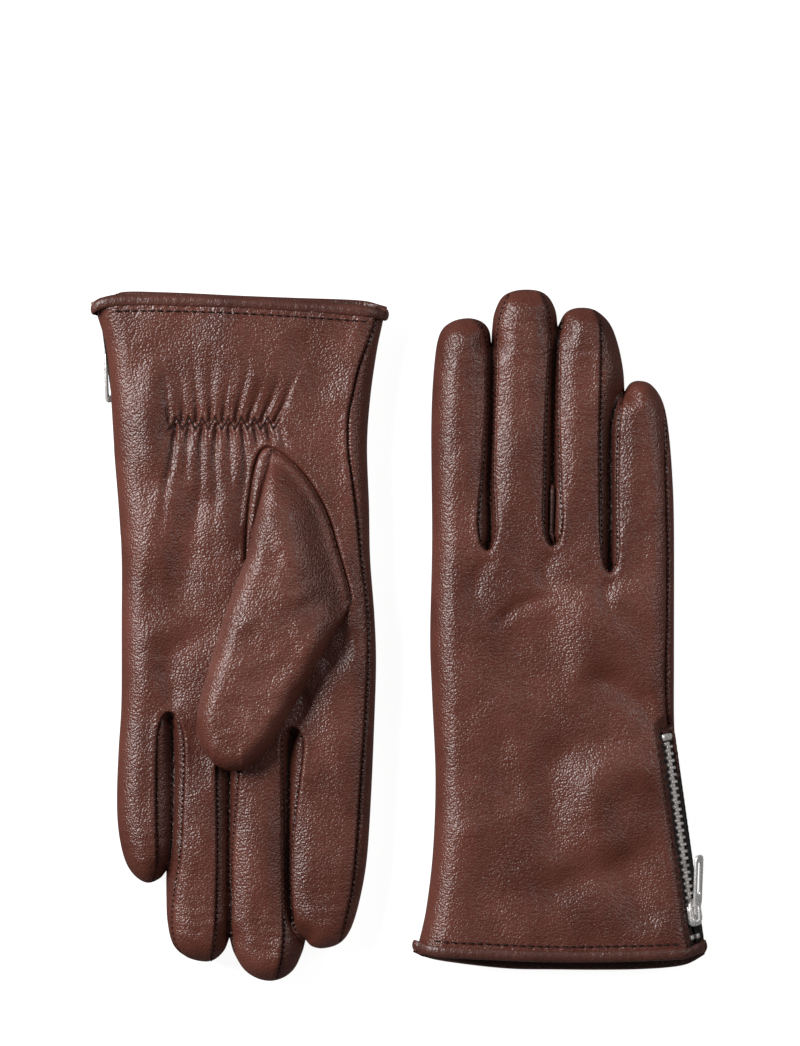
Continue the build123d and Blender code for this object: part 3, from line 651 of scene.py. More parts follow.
def side_surface(hand, side):
    """One side of a glove: its points in 3-D, its triangles, and which leather each triangle is."""
    fine = hand["top"] == side
    silhouette, outline, gaps, seams, side_seam = glove_lines(hand, side)
    rows, spacing = (FINE_ROWS, FINE) if fine else (COARSE_ROWS, COARSE)
    sewn = [Line(thumb_shape(hand)[0])] if fine and side == "palm" else []
    dense = []
    if fine and side == "palm":
        dense = [(0.75, (-20.0, 28.0, 31.0, 82.0)), (0.5, (-17.0, 41.5, 28.0, 53.0))]
    lines = gaps + sewn + [trimmed(s, outline) for s in [*seams, side_seam]]
    q, faces = triangulate(outline, lines, rows, spacing, dense)

    up = 1.0 if side == "back" else -1.0
    half = hand["thick"] / 2
    z = half + up * half * swell(q, silhouette, gaps)
    if side == "back":
        z = under_zip(hand, q, z, 0.0, 1.6)
    if side == "palm" and hand["thumb_sunk"]:
        z = z + dent(q, hand["thumb_thick"] + 0.8)
    points = np.column_stack([q, z])
    normal = normals_of(points, faces) * up
    on_edge = smooth(silhouette.near(q)[0] / 1.2)
    lift = relief(hand, side, q, silhouette, gaps, seams, side_seam) * on_edge
    if not fine:
        lift = np.minimum(lift, 0.0)
    points = points + normal * lift[:, None]

    centres = q[faces].mean(1)
    label = np.full(len(faces), "back" if side == "back" else "palm", dtype=object)
    if side == "back":
        strip = [*side_seam.p, *zip_line_to_cuff(side_seam.p[-1]), (90.0, -20.0), (90.0, side_seam.p[0][1])]
        label[inside(centres, strip)] = "palm"
    else:
        first = side_seam.p[0] if side_seam.p[0][1] < side_seam.p[-1][1] else side_seam.p[-1]
        strip = [*side_seam.p, (-90.0, side_seam.p[-1][1]), (-90.0, -20.0), (first[0] - 1.5, -20.0)]
        label[inside(centres, strip)] = "back"
    for k, seam in enumerate(seams):
        far = [(seam.p[-1][0], 260.0), (seam.p[0][0], 260.0)]
        label[inside(centres, [*seam.p, *far])] = f"fourchette_{k}"
    if side == "back":
        u, v, _ = zip_uv(hand, centres)
        label[(u > WINDOW_TOP) & (v > WINDOW_IN) & (v < WINDOW_OUT)] = "window"
    if side == "palm":
        faces = faces[:, ::-1]
    return points, faces, label


def zip_line_to_cuff(end):
    """The zip's middle, on from the side seam's end to below the cuff, in plan."""
    x, y = ZIP_START
    return [end, (x, y), (x + (y + 20.0) * np.tan(ZIP_SLANT), -20.0)]


GAP_NAMES = ("index_middle", "middle_ring", "ring_little")


def make_hand(hand, materials):
    """All of a glove's leather except its thumb and its cuff's binding."""
    pieces = {}
    for side in ("back", "palm"):
        points, faces, label = side_surface(hand, side)
        hand["surface_" + side] = (points, faces)
        for name in sorted(set(label) - {"window"}):
            store = pieces.setdefault(name, ([], [], 0))
            chosen = faces[label == name]
            used = np.unique(chosen)
            renumber = np.zeros(len(points), int)
            renumber[used] = np.arange(len(used)) + store[2]
            store[0].append(points[used])
            store[1].append(renumber[chosen])
            pieces[name] = (store[0], store[1], store[2] + len(used))
    body = hand["name"] + "_glove"
    for name, (points, faces, _) in pieces.items():
        if name.startswith("fourchette"):
            node, slot = "fourchette_" + GAP_NAMES[int(name[-1])], "leather_fourchette"
        else:
            node, slot = name + "_leather", "leather_" + name
        name = f"{hand['name']}_{node}_sewn"
        made = make_object(name, np.vstack(points), np.vstack(faces), materials[slot], hand)
        turn_under(made, 1.0)
        settle(made, body, slot, f"{hand['name']}_{node}")


def height_at(hand, side, q):
    """The leather's height and its outward way at 2-D points, from the finished surface."""
    if "tree_" + side not in hand:
        points, faces = hand["surface_" + side]
        hand["tree_" + side] = tree_of(points)
        hand["normals_" + side] = normals_of(points, faces)
    points, _ = hand["surface_" + side]
    out_z, out_n = [], []
    for x, y in np.asarray(q)[:, :2]:
        found = [(i, d) for _, i, d in hand["tree_" + side].find_n((x, y, 0), 4)]
        w = np.array([1 / (d + 0.05) for _, d in found])
        w /= w.sum()
        ids = [i for i, _ in found]
        out_z.append((points[ids, 2] * w).sum())
        n = (hand["normals_" + side][ids] * w[:, None]).sum(0)
        out_n.append(n / max(np.linalg.norm(n), 1e-9))
    return np.array(out_z), np.array(out_n)


# ---------------------------------------------------------------- materials


def nodes_of(name):
    """A new material, its node tree and its shader."""
    material = bpy.data.materials.new(name)
    material.use_nodes = True
    tree = material.node_tree
    return material, tree, tree.nodes["Principled BSDF"]


def node(tree, kind, **values):
    """A new node with its inputs or its settings given."""
    made = tree.nodes.new(kind)
    for key, value in values.items():
        if key in made.inputs:
            made.inputs[key].default_value = value
        else:
            setattr(made, key, value)
    return made


def rgb(r, g, b):
    """A colour given as 0 to 255 in sRGB."""
    parts = [((c / 255 + 0.055) / 1.055) ** 2.4 if c > 10 else c / 255 / 12.92 for c in (r, g, b)]
    return (*parts, 1.0)


def ramp(tree, value, dark, light, low=0.3, high=0.7):
    """A colour between two, from a value."""
    made = node(tree, "ShaderNodeValToRGB")
    made.color_ramp.elements[0].position = low
    made.color_ramp.elements[0].color = dark
    made.color_ramp.elements[1].position = high
    made.color_ramp.elements[1].color = light
    tree.links.new(value, made.inputs["Fac"])
    return made.outputs["Color"]


def leather(name, dark, light, grain=1.0, rough=0.30):
    """Soft nappa: fine pebbles, thin wrinkles, and colour that varies slowly."""
    material, tree, shader = nodes_of(name)
    link = tree.links.new
    where = node(tree, "ShaderNodeTexCoord").outputs["Object"]
    patches = node(tree, "ShaderNodeTexNoise", Scale=38.0, Detail=3.0, Roughness=0.55)
    pebbles = node(tree, "ShaderNodeTexVoronoi", Scale=1400.0, feature="SMOOTH_F1", Smoothness=0.6)
    fine = node(tree, "ShaderNodeTexNoise", Scale=1500.0, Detail=2.0, Roughness=0.6)
    wrinkles = node(tree, "ShaderNodeTexNoise", Scale=760.0, Detail=3.0, Roughness=0.6, Distortion=0.3)
    for texture in (patches, pebbles, fine, wrinkles):
        link(where, texture.inputs["Vector"])
    tone = ramp(tree, patches.outputs["Fac"], dark, light, 0.36, 0.66)
    pores = ramp(tree, pebbles.outputs["Distance"], (1, 1, 1, 1), (0.80, 0.78, 0.77, 1), 0.45, 0.8)
    mix = node(tree, "ShaderNodeMix", data_type="RGBA", blend_type="MULTIPLY")
    mix.inputs["Factor"].default_value = 0.8
    link(tone, mix.inputs["A"])
    link(pores, mix.inputs["B"])
    link(mix.outputs["Result"], shader.inputs["Base Color"])
    shine = node(tree, "ShaderNodeMapRange")
    shine.inputs["To Min"].default_value = rough - 0.06
    shine.inputs["To Max"].default_value = rough + 0.12
    link(wrinkles.outputs["Fac"], shine.inputs["Value"])
    link(shine.outputs["Result"], shader.inputs["Roughness"])
    height = node(tree, "ShaderNodeMath", operation="MULTIPLY_ADD")
    link(pebbles.outputs["Distance"], height.inputs[0])
    height.inputs[1].default_value = -1.0
    crinkle = node(tree, "ShaderNodeMath", operation="MULTIPLY")
    link(wrinkles.outputs["Fac"], crinkle.inputs[0])
    crinkle.inputs[1].default_value = 0.45
    link(crinkle.outputs[0], height.inputs[2])
    more = node(tree, "ShaderNodeMath", operation="MULTIPLY_ADD")
    link(fine.outputs["Fac"], more.inputs[0])
    more.inputs[1].default_value = 0.25
    link(height.outputs[0], more.inputs[2])
    bump = node(tree, "ShaderNodeBump", Strength=0.8 * grain, Distance=0.0003)
    link(more.outputs[0], bump.inputs["Height"])
    link(bump.outputs["Normal"], shader.inputs["Normal"])
    shader.inputs["Specular IOR Level"].default_value = 0.42
    return material


def woven(name, dark, light, scale=1400.0, rough=0.85, rib=0.0):
    """Cloth: crossed threads of two tones."""
    material, tree, shader = nodes_of(name)
    link = tree.links.new
    where = node(tree, "ShaderNodeTexCoord").outputs["Object"]
    a = node(tree, "ShaderNodeTexWave", Scale=scale, Distortion=rib, bands_direction="X")
    b = node(tree, "ShaderNodeTexWave", Scale=scale, Distortion=rib, bands_direction="Y")
    both = node(tree, "ShaderNodeMath", operation="MULTIPLY")
    for texture, socket in ((a, 0), (b, 1)):
        link(where, texture.inputs["Vector"])
        link(texture.outputs["Fac"], both.inputs[socket])
    link(ramp(tree, both.outputs[0], dark, light, 0.1, 0.8), shader.inputs["Base Color"])
    bump = node(tree, "ShaderNodeBump", Strength=0.5, Distance=0.0002)
    link(both.outputs[0], bump.inputs["Height"])
    link(bump.outputs["Normal"], shader.inputs["Normal"])
    shader.inputs["Roughness"].default_value = rough
    return material


def metal(name, colour, rough):
    """Plated zinc with faint brushing."""
    material, tree, shader = nodes_of(name)
    link = tree.links.new
    where = node(tree, "ShaderNodeTexCoord").outputs["Object"]
    stains = node(tree, "ShaderNodeTexNoise", Scale=900.0, Detail=3.0)
    link(where, stains.inputs["Vector"])
    dim = tuple(c * 0.72 for c in colour[:3]) + (1.0,)
    link(ramp(tree, stains.outputs["Fac"], dim, colour), shader.inputs["Base Color"])
    shine = node(tree, "ShaderNodeMapRange")
    shine.inputs["To Min"].default_value = rough
    shine.inputs["To Max"].default_value = rough + 0.15
    link(stains.outputs["Fac"], shine.inputs["Value"])
    link(shine.outputs["Result"], shader.inputs["Roughness"])
    shader.inputs["Metallic"].default_value = 0.6
    return material


def thread(name, dark, light):
    """Twisted sewing thread."""
    material, tree, shader = nodes_of(name)
    link = tree.links.new
    where = node(tree, "ShaderNodeTexCoord").outputs["Object"]
    twist = node(tree, "ShaderNodeTexWave", Scale=1300.0, Distortion=1.0, bands_direction="DIAGONAL")
    link(where, twist.inputs["Vector"])
    link(ramp(tree, twist.outputs["Fac"], dark, light, 0.2, 0.8), shader.inputs["Base Color"])
    shader.inputs["Roughness"].default_value = 0.75
    shader.inputs["Specular IOR Level"].default_value = 0.2
    return material


def make_materials():
    """Every finish of the pair, by the name of its slot."""
    return {
        "leather_back": leather("brown leather, backs", rgb(74, 37, 28), rgb(92, 50, 40)),
        "leather_palm": leather("brown leather, palms", rgb(74, 37, 28), rgb(92, 50, 40)),
        "leather_fourchette": leather("brown leather, between the fingers",
                                      rgb(68, 34, 26), rgb(84, 45, 36)),
        "leather_thumb": leather("brown leather, thumbs", rgb(80, 42, 33), rgb(98, 56, 46), 1.1),
        "leather_binding": leather("brown leather, cuff bindings", rgb(68, 36, 29), rgb(84, 48, 40),
                                   0.7, 0.36),
        "leather_facing": leather("brown leather, inside the cuffs", rgb(62, 36, 30), rgb(78, 47, 39)),
        "lining": woven("knitted lining", rgb(44, 34, 32), rgb(74, 60, 57), 900.0, 0.95, 1.5),
        "elastic": woven("ribbed elastic", rgb(28, 26, 26), rgb(60, 56, 55), 700.0),
        "thread": thread("dark brown thread", rgb(22, 10, 8), rgb(48, 26, 21)),
        "zip_tape": woven("zip tape", rgb(16, 13, 13), rgb(46, 38, 36), 1500.0),
        "zip_metal": metal("nickel teeth", (0.95, 0.90, 0.87, 1), 0.3),
        "slider_metal": metal("nickel slider", (0.95, 0.93, 0.91, 1), 0.2),
    }


# ---------------------------------------------------------------- small shapes


def stitch_mesh(paths, radius=0.26, sink=0.05):
    """Short lengths of thread: each path is a few points with the way out of the leather at each."""
    ring = 6
    points, faces = [], []
    for path, normals in paths:
        path, normals = np.asarray(path, float), np.asarray(normals, float)
        side = unit(np.cross(unit(np.gradient(path, axis=0)), normals))
        start = len(points)
        size = np.ones(len(path))
        if len(path) < 9:
            size = np.sin(np.linspace(0.22, pi - 0.22, len(path))) ** 0.45
        for i in range(len(path)):
            for k in range(ring):
                angle = 2 * pi * k / ring
                r = radius * size[i]
                points.append(path[i] + r * (cos(angle) * side[i] + (sin(angle) - sink) * normals[i]))
        for i in range(len(path) - 1):
            for k in range(ring):
                a, b = start + i * ring + k, start + i * ring + (k + 1) % ring
                faces.append((a, b, b + ring, a + ring))
        faces.append(tuple(start + k for k in reversed(range(ring))))
        faces.append(tuple(start + (len(path) - 1) * ring + k for k in range(ring)))
    return np.array(points), faces


def dashes(line, normals, length, pitch, arch=0.22):
    """Cuts a line into stitches that rise a little in the middle."""
    run = distance_along(line)
    out = []
    at = pitch * 0.5
    while at + length < run[-1]:
        t = np.linspace(at, at + length, 6)
        p = np.stack([np.interp(t, run, line[:, i]) for i in range(3)], axis=1)
        n = unit(np.stack([np.interp(t, run, normals[:, i]) for i in range(3)], axis=1))
        lift = arch * np.sin(np.linspace(0, pi, 6)) - 0.06
        out.append((p + n * lift[:, None], n))
        at += pitch
    return out


def bevelled(points, faces, width, segments=2):
    """A solid with its sharp edges rounded, as points and faces."""
    mesh = bpy.data.meshes.new("solid")
    mesh.from_pydata([tuple(p) for p in points], [], faces)
    bm = bmesh.new()
    bm.from_mesh(mesh)
    bmesh.ops.recalc_face_normals(bm, faces=bm.faces)
    sharp = [e for e in bm.edges if len(e.link_faces) == 2 and e.calc_face_angle() > 0.6]
    bmesh.ops.bevel(bm, geom=sharp, offset=width, segments=segments, profile=0.5, affect="EDGES",
                    clamp_overlap=True)
    bm.verts.index_update()
    points = np.array([tuple(v.co) for v in bm.verts])
    faces = [tuple(v.index for v in f.verts) for f in bm.faces]
    bm.free()
    bpy.data.meshes.remove(mesh)
    return points, faces


def block(size, centre, width, segments=2):
    """A rounded block."""
    x, y, z = (s / 2 for s in size)
    points = [(a * x + centre[0], b * y + centre[1], c * z + centre[2])
              for a in (-1, 1) for b in (-1, 1) for c in (-1, 1)]
    faces = [(0, 1, 3, 2), (4, 6, 7, 5), (0, 4, 5, 1), (2, 3, 7, 6), (0, 2, 6, 4), (1, 5, 7, 3)]
    return bevelled(points, faces, width, segments)


def plate(outline, holes, low, high, width, segments=2):
    """A flat plate with holes and rounded edges."""
    loops = [np.asarray(outline, float), *[np.asarray(h, float) for h in holes]]
    flat, edges = np.vstack(loops), []
    start = 0
    for loop in loops:
        edges += [(start + i, start + (i + 1) % len(loop)) for i in range(len(loop))]
        start += len(loop)
    verts, _, tris, *_ = delaunay_2d_cdt([Vector(p) for p in flat], edges, [], 0, 1e-5)
    verts = np.array([tuple(v) for v in verts])
    centres = verts[np.array(tris)].mean(1)
    keep = inside(centres, outline)
    for hole in holes:
        keep &= ~inside(centres, hole)
    tris = [t for t, k in zip(tris, keep) if k]
    count = len(verts)
    points = np.vstack([np.column_stack([verts, np.full(count, z)]) for z in (low, high)])
    faces = [tuple(reversed(t)) for t in tris] + [tuple(i + count for i in t) for t in tris]
    faces += [(a, b, b + count, a + count) for a, b in edges]
    return bevelled(points, faces, width, segments)


def joined(parts):
    """Several shapes as one."""
    points, faces, start = [], [], 0
    for p, f in parts:
        points.append(np.asarray(p, float))
        faces += [tuple(i + start for i in face) for face in f]
        start += len(p)
    return np.vstack(points), faces


def round_rectangle(x0, x1, y0, y1, r, steps=5):
    """The corners of a rectangle with round corners, anticlockwise."""
    out = []
    centres = ((x1 - r, y1 - r), (x0 + r, y1 - r), (x0 + r, y0 + r), (x1 - r, y0 + r))
    for start, (cx, cy) in enumerate(centres):
        for k in range(steps + 1):
            angle = (start + k / steps) * pi / 2
            out.append((cx + r * cos(angle), cy + r * sin(angle)))
    return out


# ---------------------------------------------------------------- the thumb


def thumb_shape(hand):
    """The thumb's edges for one glove: sewn, free and crease, in its hand frame."""
    k = 0.96 if hand["thumb_sunk"] else 1.0
    shift = 0.4 if k < 1 else 0
    return tuple(spline([(x * k - shift, 52 + (y - 52) * k) for x, y in points], 0.9)
                 for points in (THUMB_SEWN, THUMB_FREE, THUMB_CREASE))


def make_thumb(hand, materials):
    """The thumb lies folded over the palm: sewn along an arc, free from there round its tip."""
    sewn, free, crease = thumb_shape(hand)
    outline = np.vstack([sewn[:-1], free[:-1]])
    strip_end = int(np.argmin(np.hypot(sewn[:, 0] + 9.3, sewn[:, 1] - 55.8)))
    arc, strip_edge = Line(sewn[strip_end:]), Line(sewn[: strip_end + 1])
    loose = Line(np.vstack([crease, free[::-1][1:]]))
    fine = not hand["thumb_sunk"]
    rows = FINE_ROWS if fine else COARSE_ROWS
    q, faces = triangulate(outline, [trimmed(Line(crease), outline)], rows, 1.1 if fine else 2.2)
    d_arc, _, along_arc = arc.near(q)
    d_loose, _, _ = loose.near(q)
    d_strip, _, _ = strip_edge.near(q)
    on_crease = Line(crease).near(q)[0] < 0.05
    strip_zone = inside(q, np.vstack([sewn[: strip_end + 1], crease])) | on_crease | (d_strip < 0.05)
    thick = hand["thumb_thick"]
    body = rise(d_loose / 7.0) * (0.05 + 0.95 * smooth(d_arc / 20.0) ** 0.8)
    body = np.where(strip_zone, 0.0, body)
    middle = 2.6 * smooth(d_arc / 14.0) * np.where(strip_zone, 0.0, 1.0)
    lift = 0.6 * fields(q, 20.0, 21) * body + 0.3 * fields(q, 6.0, 22) * body
    lift += creases(q, [((-36, 108), (-22, 114), -0.5, 3.0), ((-20, 74), (-24, 98), 0.6, 7.0),
                        ((-12, 70), (-14, 96), -0.5, 5.0), ((-2, 130), (8, 154), 0.5, 6.0)]) * np.sqrt(body)
    lift += 0.12 * np.sin(along_arc * 2 * pi / 2.7) * np.exp(-d_arc / 1.6) - 0.7 * bell(d_arc / 0.5)
    lift += 0.35 * bell((d_arc - 1.1) / 1.0)
    strip = 1.5 * rise(d_strip / 2.2) * (1 - bell(d_loose / 0.8) * 0.6)
    top = np.where(strip_zone, 0.35 + strip, middle + (thick - middle) * body + lift + 0.25)
    low = np.where(strip_zone, 0.25, middle - (middle - 0.25) * rise(d_loose / 4.0))
    if hand["thumb_sunk"]:
        uneven = 0.5 * (0.5 - fields(q, 15.0, 5) * 0.5)
        top_z = np.maximum(0.1, 0.15 + 3.4 * (1 - rise(d_loose / 6.0)) + uneven)
        low_z = thick + 0.2 - 2.4 * (1 - rise(d_loose / 5.0))
    else:
        base, _ = height_at(hand, "palm", q)
        base = np.minimum(base, 0.3)
        top_z, low_z = base - top, base - low
    top_points = np.column_stack([q, top_z])
    low_points = np.column_stack([q, low_z])
    count = len(q)
    border = {}
    for a, b, c in faces:
        for e in ((a, b), (b, c), (c, a)):
            key = tuple(sorted(e))
            border[key] = None if key in border else e
    walls = [(e[1], e[0], e[0] + count, e[1] + count) for e in border.values() if e is not None]
    all_faces = [tuple(f[::-1]) for f in faces] + [tuple(int(i) + count for i in f) for f in faces]
    all_faces += [(b, a, d, c)[::-1] for a, b, c, d in walls]
    name = hand["name"]
    made = make_object(f"{name}_thumb_sewn", np.vstack([top_points, low_points]), all_faces,
                       materials["leather_thumb"], hand)
    made.data.set_sharp_from_angle(angle=radians(48))
    bend(made)
    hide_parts(name + "_thumb_leather")

    centre, reach = 0.5 * (top_z + low_z), 0.30 * (top_z - low_z)
    inner_top = np.column_stack([q, np.where(strip_zone, low_z, centre + reach)])
    inner_low = np.column_stack([q, np.where(strip_zone, low_z, centre - reach)])
    deep = {i for i in range(count) if d_loose[i] > 2.0 and d_arc[i] > 1.0 and not strip_zone[i]}
    chosen = [f for f in faces if all(int(i) in deep for i in f)]
    lining_faces = [tuple(f[::-1]) for f in chosen] + [tuple(int(i) + count for i in f) for f in chosen]
    lined = make_object(f"{name}_thumb_lining_knit", np.vstack([inner_top, inner_low]), lining_faces,
                        materials["lining"], hand)
    bend(lined)
    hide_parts(name + "_thumb_lining")

    if fine:
        edge = arc.beside(-0.6)
        edge = edge[inside(edge, outline)]
        tree = tree_of(top_points)
        z = np.array([np.mean([top_points[i][2] for _, i, _ in tree.find_n((x, y, 0), 3)])
                      for x, y in edge])
        normals = np.tile([0, 0, -1.0], (len(edge), 1))
        sewing = dashes(np.column_stack([edge, z]), normals, 1.5, 2.4)
        piece(hand, "thumb_seam_thread", stitch_mesh(sewing, SEAM_STITCH_R), materials, "thread")


def bend(made):
    """Bakes the leather's placement into its mesh."""
    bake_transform(made)


# ---------------------------------------------------------------- cuff, linings and sewing


def cuff_loop(hand):
    """The cuff's edge from the zip's inner side over the back, round the palm to the zip's outer side.

    Returns points on the leather and the ways out of it."""
    stations = []
    for side in ("back", "palm"):
        line = spline(hand["cuff"][side], 0.7)
        if side == "back":
            line = line[::-1]
            _, v, _ = zip_uv(hand, line)
            line = line[(v < WINDOW_IN - 0.3) | (line[:, 0] < 30)]
        z, _ = height_at(hand, side, line)
        stations.append(np.column_stack([line, z]))
    back, palm = stations
    tail_uv = np.array([[ZIP_END - 1.0, WINDOW_OUT + 0.6, 0.0]])
    head = zip_point(hand, np.array([[ZIP_END - 0.6, v, 0.9] for v in (1.6, -0.6, -2.6)]))
    path = np.vstack([head, back, palm[1:], zip_point(hand, tail_uv)])
    path = resample(path, 0.8)
    kernel = np.array([1, 2, 3, 4, 5, 4, 3, 2, 1], float)
    kernel /= kernel.sum()
    padded = [np.pad(part, 4, mode="edge") for part in path.T]
    smoothed = np.column_stack([np.convolve(part, kernel, "valid") for part in padded])
    smoothed[0], smoothed[-1] = path[0], path[-1]
    tangent = np.gradient(smoothed, axis=0)
    tangent[:, 1] = 0
    return smoothed, np.cross(np.array([0.0, 1.0, 0.0]), unit(tangent))


# The binding's section, from its sewn edge outside over the cuff's edge to its edge inside: how far up the
# glove, and how far out of the leather
BINDING = [(3.3, 0.05), (3.1, 0.42), (2.5, 0.66), (1.6, 0.80), (0.7, 0.74), (-0.1, 0.45), (-0.6, -0.1),
           (-0.8, -0.8), (-0.6, -1.5), (-0.1, -2.0), (0.8, -2.4), (2.0, -2.5), (3.2, -2.2), (3.3, -1.9)]


def make_cuff(hand, materials):
    """The rolled binding, the facing and lining inside, and the row of stitches above the roll."""
    path, out = cuff_loop(hand)
    run = distance_along(path)
    points, faces = [], []
    section = np.array(BINDING)
    count = len(section)
    for i in range(len(path)):
        plump = 1 + 0.10 * sin(run[i] * 2 * pi / 3.1) + 0.06 * sin(run[i] * 0.7)
        for a, n in section:
            points.append(path[i] + np.array([0, a, 0]) + out[i] * (n * plump if n > 0 else n))
    for i in range(len(path) - 1):
        for k in range(count - 1):
            a = i * count + k
            faces.append((a, a + count, a + count + 1, a + 1))
    faces.append(tuple(range(count)))
    faces.append(tuple(reversed(range((len(path) - 1) * count, len(path) * count))))
    piece(hand, "cuff_binding_roll", (points, faces), materials, "leather_binding", "cuff_binding")

    rows = []
    for side in ("back", "palm"):
        line = spline(hand["cuff"][side], 0.7) + np.array([0, 5.0])
        keep = np.abs(line[:, 0]) < 46.5
        if side == "back":
            _, v, _ = zip_uv(hand, line)
            keep &= v < WINDOW_IN - 2.5
        line = line[keep]
        z, n = height_at(hand, side, line)
        kernel = np.ones(7) / 7
        z = np.convolve(np.pad(z, 3, mode="edge"), kernel, "valid")
        rows += dashes(np.column_stack([line, z]) + n * 0.42, n, STITCH, STITCH_PITCH)
    piece(hand, "cuff_topstitch", stitch_mesh(rows, STITCH_R), materials, "thread", "cuff_stitches")

    facing, lining = [], []
    for side in ("back", "palm"):
        points, faces, y = inner_side(hand, side)
        facing.append((points, [tuple(f) for f in faces[y < 24.6]]))
        lining.append((points, [tuple(f) for f in faces[y >= 23.4]]))
    piece(hand, "cuff_facing_leather", joined(facing), materials, "leather_facing", "cuff_facing",
          slot="leather_palm")
    piece(hand, "hand_lining_knit", joined(lining), materials, "lining", "hand_lining")


def inner_side(hand, side):
    """One side of the layer under the leather, with each triangle's distance from the cuff."""
    silhouette, outline, gaps, _, _ = glove_lines(hand, side)
    q, faces = triangulate(outline, gaps, INNER_ROWS, 3.4)
    inset = 1.5
    up = 1.0 if side == "back" else -1.0
    half = hand["thick"] / 2
    full = swell(q, silhouette, gaps, inset)
    for gap in gaps:
        full = full * smooth((gap.near(q)[0] - 1.5) / 7.0)
    z = half + up * (half - 2.8) * full
    if side == "back":
        z = under_zip(hand, q, z, 3.4, 1.0)
    elif hand["thumb_sunk"]:
        z = z + dent(q, hand["thumb_thick"] + 0.8)
        z = np.minimum(z, half + (half - 3.4) * full)
    else:
        z = z + 1.5 * bell((q[:, 1] - ELASTIC_Y) / 7.0)
    points = np.column_stack([q, z])
    keep = silhouette.near(q[faces].mean(1))[0] > inset * 0.7
    faces = faces[keep]
    if side == "palm":
        faces = faces[:, ::-1]
    return points, faces[:, ::-1], q[faces].mean(1)[:, 1]


def make_elastic(hand, materials):
    """The tape inside the palm and the zigzag that sews it down, on the folds that it draws in."""
    x0, x1 = ELASTIC_X
    points, faces = [], []
    xs = np.arange(x0 - 2, x1 + 2.01, 0.8)
    for y, lift in ((ELASTIC_Y - 3, 1.5), (ELASTIC_Y + 3, 1.5), (ELASTIC_Y + 3, 2.1), (ELASTIC_Y - 3, 2.1)):
        line = np.column_stack([xs, np.full(len(xs), y)])
        middle = np.column_stack([xs, np.full(len(xs), ELASTIC_Y)])
        z, _ = height_at(hand, "palm", middle)
        points.append(np.column_stack([line, z + lift]))
    n = len(xs)
    for k in range(4):
        for i in range(n - 1):
            a, b = k * n + i, ((k + 1) % 4) * n + i
            faces.append((a, b, b + 1, a + 1))
    piece(hand, "wrist_elastic_tape", (np.vstack(points), faces), materials, "elastic", "wrist_elastic")
    line = zigzag_line()
    z, n = height_at(hand, "palm", line)
    sewing = stitch_mesh([(np.column_stack([line, z]) + n * 0.1, n)], 0.3)
    piece(hand, "elastic_zigzag", sewing, materials, "thread", "elastic_zigzag_thread")


def make_seam_threads(hand, materials):
    """The tiny stitches that show along the seams on the side that lies on top."""
    side = hand["top"]
    _, outline, _, seams, side_seam = glove_lines(hand, side)
    rows = []
    for line in [*seams, side_seam]:
        line = trimmed(line, outline)
        z, n = height_at(hand, side, line.p)
        rows += dashes(np.column_stack([line.p, z]) + n * 0.12, n, 0.9, 2.0, 0.1)
    piece(hand, "seam_thread", stitch_mesh(rows, SEAM_STITCH_R), materials, "thread")


# ---------------------------------------------------------------- the zip


def in_zip(hand, shape):
    """A shape of the zip's frame, in the hand frame."""
    points, faces = shape
    return zip_point(hand, np.asarray(points, float)), faces


